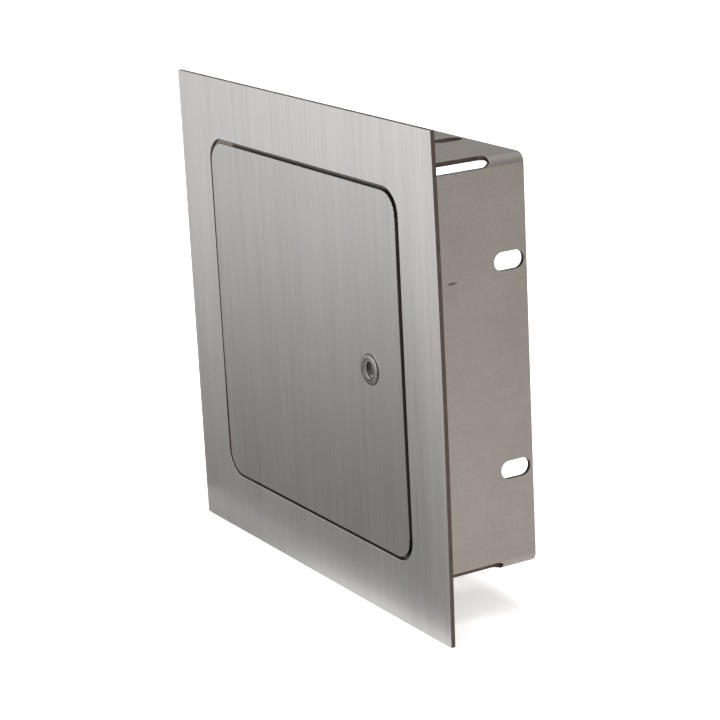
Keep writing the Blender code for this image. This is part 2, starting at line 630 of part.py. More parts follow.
def make_cam_screw(finish, latch):
    washer_front = PLUG_END + GAP
    washer_back = washer_front + CAM_WASHER_THICKNESS
    hole = circle(SCREW_RADIUS + GAP, SMALL_ROUND)
    washer = tube("cam_washer", circle(CAM_WASHER_RADIUS, SMALL_ROUND), hole, "Y", washer_front, washer_back)
    add_piece(washer, finish, latch, LATCH_AXIS)
    seat = washer_back + GAP
    top = seat + SCREW_HEAD_HEIGHT
    tail = PLUG_END - SCREW_LENGTH
    profile = [(0, tail), (SCREW_RADIUS, tail), (SCREW_RADIUS, seat), (SCREW_HEAD_RADIUS, seat),
               (SCREW_HEAD_RADIUS, seat + SCREW_HEAD_HEIGHT / 2), (SCREW_HEAD_RADIUS * 0.7, top), (0, top)]
    screw = add_piece(turned("cam_screw", profile, "Y", SMALL_ROUND), finish, latch, LATCH_AXIS)
    half, wide = SCREW_SLOT_WIDTH / 2, 2 * SCREW_HEAD_RADIUS
    bottom, above = top - SCREW_SLOT_DEPTH, top + SCREW_SLOT_DEPTH
    cut(screw, box("screw_slot_cutter", (-half, bottom, -wide), (half, above, wide)))


def build():
    clear_scene()
    brushed = metal("brushed_stainless", (0.62, 0.61, 0.59), 0.34)
    mill = metal("mill_stainless", (0.50, 0.48, 0.45), 0.45)
    plated = metal("plated_steel", (0.58, 0.58, 0.56), 0.32)
    bright = metal("bright_nickel", (0.60, 0.58, 0.56), 0.2)
    rubber = metal("black_rubber", (0.03, 0.03, 0.03), 0.8, metallic=0.0)

    cabinet = add_group("cabinet", (0, 0, 0))
    door = add_group("door", HINGE_AXIS, cabinet)
    latch = add_group("latch", LATCH_AXIS, door)

    make_face_plate(brushed, cabinet)
    make_collar(mill, cabinet)
    make_strike(mill, cabinet)
    make_stops(mill, rubber, cabinet)
    make_door_panel(brushed, door)
    for side, height in (("upper", HINGE_SPACING / 2), ("lower", -HINGE_SPACING / 2)):
        make_hinge_bracket("hinge_bracket_" + side, height, plated, cabinet)
        make_hinge_pin(side, height, plated, cabinet)
        make_hinge_arm(side, height, plated, door)
    make_latch_housing(bright, plated, door)
    make_latch_plug(bright, latch)
    make_cam(plated, latch)
    make_cam_screw(plated, latch)


build()
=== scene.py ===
# %% [markdown]
# # A recessed cabinet for a standpipe valve
# The real box is sheet work: a thick brushed face plate, a thin flush door, and a collar folded from one
# strip, all in stainless steel, with small plated hinge and latch parts behind the door.
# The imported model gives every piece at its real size. This file gives the pieces their edges, threads,
# welds and finishes, and sets up a small photo studio round them.

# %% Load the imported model
import math

import bmesh
import bpy
from mathutils import Matrix, Vector


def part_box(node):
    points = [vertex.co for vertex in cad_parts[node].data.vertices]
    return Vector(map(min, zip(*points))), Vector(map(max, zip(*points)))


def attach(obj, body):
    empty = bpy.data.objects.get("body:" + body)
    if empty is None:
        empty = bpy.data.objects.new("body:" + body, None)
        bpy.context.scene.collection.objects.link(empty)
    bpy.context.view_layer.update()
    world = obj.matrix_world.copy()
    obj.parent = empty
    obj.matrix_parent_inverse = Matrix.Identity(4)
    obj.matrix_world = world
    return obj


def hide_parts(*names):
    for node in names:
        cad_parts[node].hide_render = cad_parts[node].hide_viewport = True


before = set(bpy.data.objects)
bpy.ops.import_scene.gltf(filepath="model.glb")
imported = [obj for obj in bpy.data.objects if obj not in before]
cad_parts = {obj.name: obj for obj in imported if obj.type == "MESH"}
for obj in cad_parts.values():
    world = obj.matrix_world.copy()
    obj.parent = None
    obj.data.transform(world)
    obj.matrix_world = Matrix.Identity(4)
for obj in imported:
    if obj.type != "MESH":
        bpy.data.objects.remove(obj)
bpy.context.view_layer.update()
MM = 0.001
print("pieces in the packed model:", len(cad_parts))

# %% [markdown]
# ## The camera
# A long lens from a little over a metre away keeps the sheet's edges nearly parallel. The camera stands to
# the right of the door and above it, and is rolled a little, as a camera held by hand is. It could be aimed
# with a Track To constraint, but a direction and a roll turned into one matrix are easier to read back.

# %% Camera
CAMERA_PLACE = Vector((1.2463, -0.6926, 0.3920))
CAMERA_SIDE = math.radians(59.74)       # round to the right of the door's normal
CAMERA_HEIGHT = math.radians(15.88)
CAMERA_ROLL = math.radians(-2.93)
LENS = 119.75


def camera_axes(side, height, roll):
    back = Vector((math.sin(side) * math.cos(height), -math.cos(side) * math.cos(height), math.sin(height)))
    right = Vector((math.cos(side), math.sin(side), 0))
    axes = Matrix((right, back.cross(right), back)).transposed()
    return Matrix.Rotation(roll, 3, back) @ axes


camera = bpy.data.objects.new("camera", bpy.data.cameras.new("camera"))
bpy.context.scene.collection.objects.link(camera)
camera.matrix_world = Matrix.Translation(CAMERA_PLACE) @ camera_axes(
    CAMERA_SIDE, CAMERA_HEIGHT, CAMERA_ROLL).to_4x4()
camera.data.lens = LENS
bpy.context.scene.camera = camera
print("camera to the door:", round(CAMERA_PLACE.length, 3), "m")

# %% [markdown]
# ## Shader sums
# A finish is mostly arithmetic on noise. Written as nodes one by one that is hard to follow, so one small
# class wraps a socket and turns + - * / into Math nodes. Every other node comes from `node`, which takes the
# node's type, its settings and what goes into its sockets.

# %% Shader helper


class Wire:
    """A socket of a shader tree that can be used in a sum."""

    def __init__(self, tree, socket=None):
        self.tree, self.socket = tree, socket

    def node(self, kind, settings=None, inputs=None, output=0):
        made = self.tree.nodes.new(kind)
        for name, value in (settings or {}).items():
            if name == "stops":
                fill_ramp(made.color_ramp, value)
            else:
                setattr(made, name, value)
        for name, value in (inputs or {}).items():
            if isinstance(value, Wire):
                self.tree.links.new(value.socket, made.inputs[name])
            else:
                made.inputs[name].default_value = value
        return Wire(self.tree, made.outputs[output])

    def math(self, operation, *values, clamp=False):
        settings = {"operation": operation, "use_clamp": clamp}
        return self.node("ShaderNodeMath", settings, dict(enumerate(values)))

    def __add__(self, other):
        return self.math("ADD", self, other)

    def __radd__(self, other):
        return self.math("ADD", other, self)

    def __sub__(self, other):
        return self.math("SUBTRACT", self, other)

    def __rsub__(self, other):
        return self.math("SUBTRACT", other, self)

    def __mul__(self, other):
        return self.math("MULTIPLY", self, other)

    def __rmul__(self, other):
        return self.math("MULTIPLY", other, self)

    def __truediv__(self, other):
        return self.math("DIVIDE", self, other)

    def __rtruediv__(self, other):
        return self.math("DIVIDE", other, self)

    def between(self, low, high):
        """0 below low, 1 above high, and a smooth step between them. Low may be the larger."""
        inputs = {"Value": self, "From Min": low, "From Max": high}
        return self.node("ShaderNodeMapRange", {"interpolation_type": "SMOOTHSTEP"}, inputs)

    def mix(self, first, second):
        """From the first colour to the second as this wire goes from 0 to 1."""
        return self.node("ShaderNodeMix", {"data_type": "RGBA"}, {0: self, 6: first, 7: second}, output=2)

    def feed(self, socket):
        self.tree.links.new(self.socket, socket)


def fill_ramp(ramp, stops):
    while len(ramp.elements) > 1:
        ramp.elements.remove(ramp.elements[-1])
    ramp.elements[0].position, ramp.elements[0].color = stops[0]
    for place, colour in stops[1:]:
        ramp.elements.new(place).color = colour


print("shader helper ready")

# %% [markdown]
# ## The studio
# Bare metal shows little colour of its own: what gives it form is what it mirrors. A picture of a studio
# could be wrapped round the scene, but a few smooth steps of brightness by height and direction do the same
# and stay easy to tune. In front of the door they fall from a bright far wall to a dim floor, which runs the
# plate from light at its top to grey at its foot. To the sides they fade, and behind the box the floor is the
# bright part.

# %% Surroundings
FRONT = (0.0, -1.0, 0.0)
TO_LAMP_SIDE = (0.504, -0.864, 0.0)     # square to the line that the plate mirrors, towards the front lamp


def grey(value):
    return (value, value, value, 1.0)


def warm(value):
    return (value, value * 0.965, value * 0.93, 1.0)


# Brightness by height in degrees, from straight down to straight up
AHEAD = [(-90, warm(0.38)), (-24, warm(0.29)), (-19, warm(0.28)), (-17, warm(0.37)), (-15, warm(0.55)),
         (-13, grey(0.88)), (-11, grey(1.12)), (20, grey(1.0)), (90, grey(1.3))]
BEHIND = [(-90, warm(0.75)), (-25, warm(0.90)), (-16, warm(0.64)), (-8, warm(0.36)), (0, warm(0.27)),
          (18, warm(0.36)), (30, warm(0.40)), (50, grey(0.5)), (90, grey(0.9))]


def build_surroundings():
    world = bpy.data.worlds.new("studio_surroundings")
    world.use_nodes = True
    bpy.context.scene.world = world
    graph = Wire(world.node_tree)
    direction = graph.node("ShaderNodeTexCoord", output="Generated")
    height = graph.node("ShaderNodeSeparateXYZ", inputs={0: direction}, output="Z")

    def toward(axis):
        settings = {"operation": "DOT_PRODUCT"}
        return graph.node("ShaderNodeVectorMath", settings, {0: direction, 1: axis}, output="Value")

    def by_height(stops):
        stops = [((math.sin(math.radians(angle)) + 1) / 2, colour) for angle, colour in stops]
        return graph.node("ShaderNodeValToRGB", {"stops": stops}, {0: height / 2 + 0.5})

    lamp_side = toward(TO_LAMP_SIDE)
    spread = lamp_side.between(-0.21, 0.24) * (1 - 0.75 * lamp_side.between(0.5, 0.95))
    settings = {"data_type": "RGBA", "blend_type": "MULTIPLY"}
    inputs = {0: 1.0, 6: by_height(AHEAD), 7: spread.mix(grey(0.2), grey(1.6))}
    ahead = graph.node("ShaderNodeMix", settings, inputs, output=2)
    colour = toward(FRONT).between(-0.1, 0.25).mix(by_height(BEHIND), ahead)
    background = world.node_tree.nodes["Background"]
    colour.feed(background.inputs["Color"])
    background.inputs["Strength"].default_value = 1.0


build_surroundings()
bpy.context.scene.view_settings.view_transform = "Standard"
print("surroundings ready")

# %% [markdown]
# ## Floor and lamps
# The floor is a wide pale sweep. The metal doesn't mirror it, because a real sweep that close would fill the
# plate with flat white. A pale backdrop closes the floor off behind, and only the camera sees it. A small
# card at the plate's foot is the other way about: only reflections show it, as a light band. One broad lamp
# overhead gives the floor its soft shadow, and one in front of the box puts the thin light lines on rounded
# edges. All these stay out of the object's own size.

# %% Floor and lamps
PLATE_LOW, PLATE_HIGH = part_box("face_plate")
FLOOR_RADIUS = 7.0
FLOOR_DROP = 0.4 * MM
BACKDROP_HEIGHT = 7.0
CARD_REACH = 24 * MM
CARD_MARGIN = 50 * MM
ROUND_STEPS = 96


def stage_piece(name, shape, place, finish, roughness=0.5):
    """A piece of the studio that isn't part of the object. Its finish glows, so it needs no lamp."""
    mesh = bpy.data.meshes.new(name)
    shape.to_mesh(mesh)
    shape.free()
    piece = bpy.data.objects.new(name, mesh)
    piece.location = place
    bpy.context.scene.collection.objects.link(piece)
    material = bpy.data.materials.new(finish)
    material.use_nodes = True
    mesh.materials.append(material)
    paint = material.node_tree.nodes["Principled BSDF"]
    paint.inputs["Roughness"].default_value = roughness
    paint.inputs["Emission Color"].default_value = grey(1.0)
    paint.inputs["Emission Strength"].default_value = 1.0
    return piece, paint, Wire(material.node_tree)


def build_floor():
    shape = bmesh.new()
    bmesh.ops.create_circle(shape, cap_ends=True, segments=ROUND_STEPS, radius=FLOOR_RADIUS)
    floor, paint, graph = stage_piece("floor", shape, (0, 0, PLATE_LOW.z - FLOOR_DROP), "pale_sweep", 0.9)
    place = graph.node("ShaderNodeTexCoord", output="Object")
    cloud = graph.node("ShaderNodeTexNoise", inputs={"Vector": place, "Scale": 3.0})
    cloud.between(0.3, 0.7).mix(grey(0.90), grey(0.93)).feed(paint.inputs["Base Color"])
    paint.inputs["Specular IOR Level"].default_value = 0.1
    paint.inputs["Emission Strength"].default_value = 0.45
    floor.visible_glossy = False


def build_backdrop():
    """A pale wall round the floor that only the camera sees, so that low views have no dark horizon."""
    profile = [(FLOOR_RADIUS - 0.6, 0.0), (FLOOR_RADIUS - 0.2, 0.15), (FLOOR_RADIUS, 0.6),
               (FLOOR_RADIUS, BACKDROP_HEIGHT)]
    angles = [2 * math.pi * step / ROUND_STEPS for step in range(ROUND_STEPS)]
    shape = bmesh.new()
    rings = []
    for radius, height in profile:
        rings.append([shape.verts.new((radius * math.cos(a), radius * math.sin(a), height)) for a in angles])
    for ring, above in zip(rings, rings[1:]):
        for index in range(ROUND_STEPS):
            after = (index + 1) % ROUND_STEPS
            shape.faces.new((ring[index], ring[after], above[after], above[index]))
    wall, paint, _ = stage_piece("backdrop", shape, (0, 0, PLATE_LOW.z - FLOOR_DROP), "pale_backdrop", 0.9)
    paint.inputs["Base Color"].default_value = grey(0.1)
    wall.visible_glossy = wall.visible_diffuse = wall.visible_shadow = False


def build_foot_card():
    """A card lying before the plate that fades forward and to the left. Only reflections show it."""
    left, right = PLATE_LOW.x - CARD_MARGIN, PLATE_HIGH.x + CARD_MARGIN
    corners = [(left, -CARD_REACH), (right, -CARD_REACH), (right, 0), (left, 0)]
    shape = bmesh.new()
    shape.faces.new([shape.verts.new((x, y, 0)) for x, y in corners])
    place = (0, PLATE_LOW.y - 0.5 * MM, PLATE_LOW.z - 0.2 * MM)
    card, paint, graph = stage_piece("foot_card", shape, place, "pale_card")
    place = graph.node("ShaderNodeTexCoord", output="Object")
    x, y = (graph.node("ShaderNodeSeparateXYZ", inputs={0: place}, output=axis) for axis in "XY")
    fade = y.between(-CARD_REACH, 0) * (0.1 + 0.8 * x.between(-0.12, 0.06))
    fade.mix(grey(0.26), grey(0.85)).feed(paint.inputs["Emission Color"])
    paint.inputs["Base Color"].default_value = grey(0.05)
    card.visible_camera = card.visible_diffuse = card.visible_shadow = False


def add_lamp(name, place, size, power):
    lamp = bpy.data.lights.new(name, "AREA")
    lamp.shape, lamp.size, lamp.energy = "DISK", size, power
    holder = bpy.data.objects.new(name, lamp)
    holder.location = place
    holder.rotation_euler = (-Vector(place)).to_track_quat("-Z", "Y").to_euler()
    bpy.context.scene.collection.objects.link(holder)
    return holder


build_floor()
build_backdrop()
build_foot_card()
add_lamp("overhead_lamp", (-0.5, 0.3, 2.2), 2.0, 40).visible_glossy = False
add_lamp("front_lamp", (0.5, -2.0, 0.7), 0.9, 7)
print("floor at", round(PLATE_LOW.z - FLOOR_DROP, 4), "m")

# %% [markdown]
# ## Finishes
# Every finish is made from the piece's own coordinates, so that it stays on the piece when it moves. Brushed
# sheet has fine scratches that all run one way. A scratch blurs reflections across itself and not along
# itself, which the anisotropic setting gives, and stretched noise gives the streaks that can still be seen.

# %% Brushed stainless


def new_finish(name, colour, roughness, metallic=1.0, anisotropic=0.0):
    """A material with its shader node and a wire to start sums from."""
    material = bpy.data.materials.new(name)
    material.use_nodes = True
    shader = material.node_tree.nodes["Principled BSDF"]
    shader.inputs["Base Color"].default_value = (*colour, 1.0)
    shader.inputs["Roughness"].default_value = roughness
    shader.inputs["Metallic"].default_value = metallic
    shader.inputs["Anisotropic"].default_value = anisotropic
    return material, shader, Wire(material.node_tree)


def tone(colour, share):
    return (*(min(1.0, part * share) for part in colour), 1.0)


def noise(graph, place, size, detail=2.0):
    """Noise with one feature size in each direction."""
    spread = graph.node("ShaderNodeMapping", inputs={"Vector": place, "Scale": tuple(1 / s for s in size)})
    inputs = {"Vector": spread, "Scale": 1.0, "Detail": detail, "Roughness": 0.6}
    return graph.node("ShaderNodeTexNoise", inputs=inputs)


def raise_surface(graph, shader, height, distance, strength=1.0):
    inputs = {"Height": height, "Distance": distance, "Strength": strength}
    graph.node("ShaderNodeBump", inputs=inputs).feed(shader.inputs["Normal"])


def brushed_stainless(name, colour):
    material, shader, graph = new_finish(name, colour, 0.3, anisotropic=0.75)
    place = graph.node("ShaderNodeTexCoord", output="Object")
    hairline = noise(graph, place, (0.25 * MM, 0.25 * MM, 25 * MM))
    scratch = noise(graph, place, (0.6 * MM, 0.6 * MM, 38 * MM), detail=3.0)
    streak = noise(graph, place, (1.6 * MM, 1.6 * MM, 90 * MM))
    band = noise(graph, place, (14 * MM, 14 * MM, 260 * MM))
    haze = noise(graph, place, (60 * MM, 60 * MM, 60 * MM))
    lightness = 0.34 * streak + 0.26 * scratch + 0.2 * band + 0.2 * hairline
    cool = (colour[0] * 0.995, colour[1] * 1.005, colour[2] * 1.01)
    warm_tint = (colour[0] * 1.01, colour[1] * 0.995, colour[2] * 0.985)
    dull = streak.between(0.35, 0.65).mix(tone(cool, 0.90), tone(warm_tint, 0.92))
    lightness.between(0.32, 0.68).mix(dull, tone(colour, 1.09)).feed(shader.inputs["Base Color"])
    roughness = 0.22 + 0.06 * hairline + 0.04 * scratch + 0.04 * haze
    roughness.feed(shader.inputs["Roughness"])
    raise_surface(graph, shader, hairline, 0.004 * MM)
    return material


PLATE_FINISH = brushed_stainless("plate_brushed_stainless", (0.62, 0.61, 0.597))
DOOR_FINISH = brushed_stainless("door_brushed_stainless", (0.53, 0.518, 0.506))
print("brushed finishes:", PLATE_FINISH.name, DOOR_FINISH.name)

# %% [markdown]
# The collar is left as the mill rolled it: matte, a little warmer, with a fine mottle, soft clouding from
# handling, and one small scuff on its right wall. The angles behind the plate get a dark colour that paints
# the shade seen in the door gap in front of them.
# Where sheet was cut, the edge is darker and browner, with a coarser grain.

# %% Mill stainless and cut edges
SCUFF_HEIGHT = 56.2 * MM
SCUFF_DEPTH = 24.9 * MM
SCUFF_LENGTH = 3.6 * MM
SCUFF_WIDTH = 1.0 * MM


def mill_stainless(name, colour):
    material, shader, graph = new_finish(name, colour, 0.4)
    place = graph.node("ShaderNodeTexCoord", output="Object")
    grit = noise(graph, place, (0.35 * MM, 0.35 * MM, 0.35 * MM))
    mottle = noise(graph, place, (2.2 * MM, 2.2 * MM, 2.2 * MM), detail=3.0)
    rolling = noise(graph, place, (1.5 * MM, 40 * MM, 1.5 * MM))
    cloud = noise(graph, place, (45 * MM, 45 * MM, 45 * MM))
    lightness = 0.25 * grit + 0.3 * mottle + 0.15 * rolling + 0.3 * cloud
    clean = lightness.between(0.34, 0.66).mix(tone(colour, 0.89), tone(colour, 1.09))
    x, y, z = (graph.node("ShaderNodeSeparateXYZ", inputs={0: place}, output=axis) for axis in "XYZ")
    along = (y - SCUFF_DEPTH) / SCUFF_LENGTH
    aside = (z - SCUFF_HEIGHT) / SCUFF_WIDTH
    spread = along * along + aside * aside + 0.8 * mottle
    scuff = spread.between(1.9, 0.2) * x.between(0.0, 0.01)
    scuff.mix(clean, tone(colour, 0.3)).feed(shader.inputs["Base Color"])
    (0.36 + 0.05 * grit + 0.05 * mottle + 0.06 * cloud).feed(shader.inputs["Roughness"])
    raise_surface(graph, shader, grit + mottle, 0.012 * MM)
    return material


def cut_edge(name, colour):
    material, shader, graph = new_finish(name, colour, 0.5)
    place = graph.node("ShaderNodeTexCoord", output="Object")
    grit = noise(graph, place, (0.3 * MM, 0.3 * MM, 0.3 * MM), detail=3.0)
    patch = noise(graph, place, (9 * MM, 9 * MM, 9 * MM))
    (0.6 * grit + 0.4 * patch).between(0.3, 0.7).mix(
        tone(colour, 0.75), tone(colour, 1.25)).feed(shader.inputs["Base Color"])
    (0.42 + 0.2 * grit).feed(shader.inputs["Roughness"])
    raise_surface(graph, shader, grit, 0.03 * MM)
    return material


COLLAR_FINISH = mill_stainless("collar_mill_stainless", (0.52, 0.49, 0.455))
# A dark finish for the strike and stop angles: painted shade of the door gap they sit behind.
ANGLE_FINISH = mill_stainless("angle_pickled_stainless", (0.16, 0.138, 0.124))
EDGE_FINISH = cut_edge("cut_sheet_edge", (0.17, 0.135, 0.12))
print("mill finish and cut edge:", COLLAR_FINISH.name, EDGE_FINISH.name)

# %% [markdown]
# Hinges, nuts and cam are zinc plated: paler, faintly blue, and cloudy. The latch head is polished nickel
# with the fine scratches that a key leaves, and the door pads are black rubber with a dusty skin.

# %% Plated steel, nickel and rubber


def zinc_plate(name, colour):
    material, shader, graph = new_finish(name, colour, 0.35)
    place = graph.node("ShaderNodeTexCoord", output="Object")
    crystal = noise(graph, place, (0.8 * MM, 0.8 * MM, 0.8 * MM), detail=3.0)
    cloud = noise(graph, place, (7 * MM, 7 * MM, 7 * MM))
    blue = (colour[0] * 0.9, colour[1] * 0.96, colour[2] * 1.08)
    cloud.between(0.35, 0.65).mix(tone(colour, 1.0), (*blue, 1.0)).feed(shader.inputs["Base Color"])
    (0.26 + 0.16 * crystal + 0.06 * cloud).feed(shader.inputs["Roughness"])
    raise_surface(graph, shader, crystal, 0.012 * MM)
    return material


def polished_nickel(name, colour):
    material, shader, graph = new_finish(name, colour, 0.2)
    place = graph.node("ShaderNodeTexCoord", output="Object")
    wear = noise(graph, place, (0.2 * MM, 3 * MM, 2.5 * MM), detail=3.0)
    smear = noise(graph, place, (4 * MM, 4 * MM, 4 * MM))
    smear.between(0.3, 0.7).mix(tone(colour, 0.86), tone(colour, 1.05)).feed(shader.inputs["Base Color"])
    (0.1 + 0.16 * wear + 0.08 * smear).feed(shader.inputs["Roughness"])
    raise_surface(graph, shader, wear, 0.004 * MM)
    return material


def pad_rubber(name, colour):
    material, shader, graph = new_finish(name, colour, 0.75, metallic=0.0)
    place = graph.node("ShaderNodeTexCoord", output="Object")
    skin = noise(graph, place, (0.3 * MM, 0.3 * MM, 0.3 * MM), detail=3.0)
    dust = noise(graph, place, (3 * MM, 3 * MM, 3 * MM), detail=4.0)
    dust.between(0.45, 0.75).mix((*colour, 1.0), tone(colour, 2.4)).feed(shader.inputs["Base Color"])
    (0.62 + 0.25 * dust).feed(shader.inputs["Roughness"])
    raise_surface(graph, shader, skin, 0.02 * MM)
    return material


def weld_metal(name, colour):
    """Bare weld with the straw and blue tints that heat leaves beside it."""
    material, shader, graph = new_finish(name, colour, 0.35)
    place = graph.node("ShaderNodeTexCoord", output="Object")
    ripple = noise(graph, place, (0.8 * MM, 0.8 * MM, 0.8 * MM), detail=3.0)
    tint = noise(graph, place, (5 * MM, 5 * MM, 5 * MM))
    stops = [(0.3, (0.42, 0.34, 0.22, 1.0)), (0.5, (*colour, 1.0)), (0.7, (0.25, 0.27, 0.36, 1.0))]
    graph.node("ShaderNodeValToRGB", {"stops": stops}, {0: tint}).feed(shader.inputs["Base Color"])
    (0.3 + 0.25 * ripple).feed(shader.inputs["Roughness"])
    raise_surface(graph, shader, ripple, 0.05 * MM)
    return material


ZINC_FINISH = zinc_plate("clear_zinc_plate", (0.60, 0.60, 0.585))
NICKEL_FINISH = polished_nickel("polished_nickel", (0.37, 0.352, 0.34))
# A darker nickel for the inside of the latch pocket, which paints the shade in the recess.
POCKET_FINISH = polished_nickel("pocket_nickel", (0.22, 0.195, 0.18))
WELD_FINISH = weld_metal("weld_metal", (0.45, 0.43, 0.41))
RUBBER_FINISH = pad_rubber("pad_rubber", (0.022, 0.022, 0.022))
print("small part finishes:", ZINC_FINISH.name, NICKEL_FINISH.name, RUBBER_FINISH.name)

# %% [markdown]
# ## Making pieces
# Sheet work is outlines pushed through a thickness, and small hardware is turned on a lathe, so two makers
# cover nearly everything. Cuts are exact Booleans that are applied at once, and the faces they leave take
# the cutter's finish. At the end each piece gets a very small rounded edge: real sheet is never knife sharp,
# and that thin round is what catches the lamps.

# %% Outlines
QUARTER = math.pi / 2


def arc(centre, radius, first, last, steps):
    angles = [first + (last - first) * step / steps for step in range(steps + 1)]
    return [(centre[0] + radius * math.cos(angle), centre[1] + radius * math.sin(angle)) for angle in angles]


def ring_of(radius, count):
    return arc((0, 0), radius, 0, 2 * math.pi * (count - 1) / count, count - 1)


def rounded_rectangle(low, high, radius, steps=16):
    corners = [(high[0] - radius, high[1] - radius), (low[0] + radius, high[1] - radius),
               (low[0] + radius, low[1] + radius), (high[0] - radius, low[1] + radius)]
    points = []
    for turn, corner in enumerate(corners):
        points += arc(corner, radius, turn * QUARTER, (turn + 1) * QUARTER, steps)
    return points


def slot_outline(length, width, centre=(0, 0), steps=16):
    """A slot that is long in its first direction."""
    reach = (length - width) / 2
    right = arc((centre[0] + reach, centre[1]), width / 2, -QUARTER, QUARTER, steps)
    return right + arc((centre[0] - reach, centre[1]), width / 2, QUARTER, 3 * QUARTER, steps)


def hexagon(flats):
    return [(flats / math.sqrt(3) * x, flats / math.sqrt(3) * y) for x, y in ring_of(1, 6)]


print("points in a slot's outline:", len(slot_outline(20 * MM, 10 * MM)))

# %% Solids from outlines
PLANES = {"X": (1, 2, 0), "Y": (2, 0, 1), "Z": (0, 1, 2)}


def at(axis, first, second, along):
    """A point from two coordinates across an axis and one along it."""
    point = [0.0, 0.0, 0.0]
    for index, value in zip(PLANES[axis], (first, second, along)):
        point[index] = value
    return Vector(point)


def closed(shape, finish):
    """A mesh with its faces pointing out and one finish on it."""
    bmesh.ops.recalc_face_normals(shape, faces=shape.faces)
    mesh = bpy.data.meshes.new("shape")
    shape.to_mesh(mesh)
    shape.free()
    mesh.materials.append(finish)
    return mesh


def pushed(outline, axis, start, end, finish, origin=(0, 0, 0)):
    """An outline pushed along an axis."""
    shape = bmesh.new()
    near, far = ([shape.verts.new(at(axis, a, b, along) + Vector(origin)) for a, b in outline]
                 for along in (start, end))
    shape.faces.new(near)
    shape.faces.new(far)
    for index in range(len(outline)):
        after = (index + 1) % len(outline)
        shape.faces.new((near[index], near[after], far[after], far[index]))
    return closed(shape, finish)


def turned(profile, axis, finish, origin=(0, 0, 0), count=64):
    """A profile of (radius, along) turned round an axis. It closes on itself or ends on the axis."""
    shape = bmesh.new()
    rings = []
    for radius, along in profile:
        outline = ring_of(radius, count) if radius > 0 else [(0, 0)]
        rings.append([shape.verts.new(at(axis, a, b, along) + Vector(origin)) for a, b in outline])
    for number in range(len(rings) if profile[0][0] > 0 else len(rings) - 1):
        ring, following = rings[number], rings[(number + 1) % len(rings)]
        for index in range(count):
            after = (index + 1) % count
            corners = [ring[index % len(ring)], ring[after % len(ring)],
                       following[after % len(following)], following[index % len(following)]]
            shape.faces.new(list(dict.fromkeys(corners)))
    return closed(shape, finish)


print("axes that shapes are pushed along:", ", ".join(PLANES))

# %% Pieces, cuts and edges
SHARP = math.radians(30)


def make(name, mesh, body, slot, *nodes):
    """An object for a mesh. It rides on a body and stands for some nodes. Its slot argument is not used."""
    mesh.name = name
    piece = bpy.data.objects.new(name, mesh)
    bpy.context.scene.collection.objects.link(piece)
    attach(piece, body)
    if nodes:
        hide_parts(*nodes)
    return piece


def settle(piece):
    """Applies the piece's modifiers."""
    bpy.context.view_layer.update()
    result = piece.evaluated_get(bpy.context.evaluated_depsgraph_get())
    mesh = bpy.data.meshes.new_from_object(result)
    old, name = piece.data, piece.data.name
    piece.modifiers.clear()
    piece.data = mesh
    bpy.data.meshes.remove(old)
    mesh.name = name


def carve(piece, mesh, operation="DIFFERENCE"):
    tool = bpy.data.objects.new("tool", mesh)
    bpy.context.scene.collection.objects.link(tool)
    boolean = piece.modifiers.new("carve", "BOOLEAN")
    boolean.operation, boolean.solver, boolean.object = operation, "EXACT", tool
    boolean.material_mode = "TRANSFER"
    settle(piece)
    bpy.data.objects.remove(tool)
    bpy.data.meshes.remove(mesh)


def smooth(piece):
    """Smooth shading that stays sharp over 50 degrees."""
    piece.data.shade_smooth()
    piece.data.set_sharp_from_angle(angle=math.radians(50))


def soften(piece, width, segments=2, finish_number=-1):
    """Rounds every edge over 30 degrees and keeps the flat faces flat. The rounds can take one finish."""
    bevel = piece.modifiers.new("edges", "BEVEL")
    bevel.material = finish_number
    bevel.width, bevel.segments, bevel.limit_method, bevel.angle_limit = width, segments, "ANGLE", SHARP
    bevel.use_clamp_overlap = False
    settle(piece)
    smooth(piece)
    weighted = piece.modifiers.new("flat_faces", "WEIGHTED_NORMAL")
    weighted.weight, weighted.keep_sharp = 90, True
    settle(piece)
    return piece


print("edges over", round(math.degrees(SHARP)), "degrees are rounded")

# %% [markdown]
# ## The face plate
# It is one square of sheet with a round-cornered opening. The part that stands out past the collar is free
# to bend, and on the right side it has been pushed back a little in the middle, as a handled box often is.
# The slab is divided in lines so that this margin can bend, and then the opening is cut.

# %% Face plate
PLATE_FRONT, PLATE_BACK = PLATE_LOW.y, PLATE_HIGH.y
HALF_PLATE = PLATE_HIGH.x
COLLAR_LOW, COLLAR_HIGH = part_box("box_collar")
OPENING_WIDTH, OPENING_HEIGHT = 228.6 * MM, 227.0 * MM
OPENING_CORNER = 15.9 * MM
MARGIN_BEND = 1.2 * MM
SHEET_EDGE = 0.22 * MM


def slab(xs, zs, front, back, finish):
    """A flat slab divided along lines in X and Z."""
    shape = bmesh.new()
    last, top = len(xs) - 1, len(zs) - 1
    sheets = [[[shape.verts.new((x, y, z)) for z in zs] for x in xs] for y in (front, back)]
    for sheet in sheets:
        for i in range(last):
            for j in range(top):
                shape.faces.new((sheet[i][j], sheet[i + 1][j], sheet[i + 1][j + 1], sheet[i][j + 1]))
    border = [(i, 0) for i in range(last)] + [(last, j) for j in range(top)]
    border += [(i, top) for i in range(last, 0, -1)] + [(0, j) for j in range(top, 0, -1)]
    for (i, j), (k, l) in zip(border, border[1:] + border[:1]):
        shape.faces.new((sheets[0][i][j], sheets[0][k][l], sheets[1][k][l], sheets[1][i][j]))
    return closed(shape, finish)


def edge_faces(mesh, finish, is_edge):
    """Gives the faces whose centre and normal pass a test a second finish."""
    mesh.materials.append(finish)
    for face in mesh.polygons:
        if is_edge(face.normal, face.center):
            face.material_index = len(mesh.materials) - 1


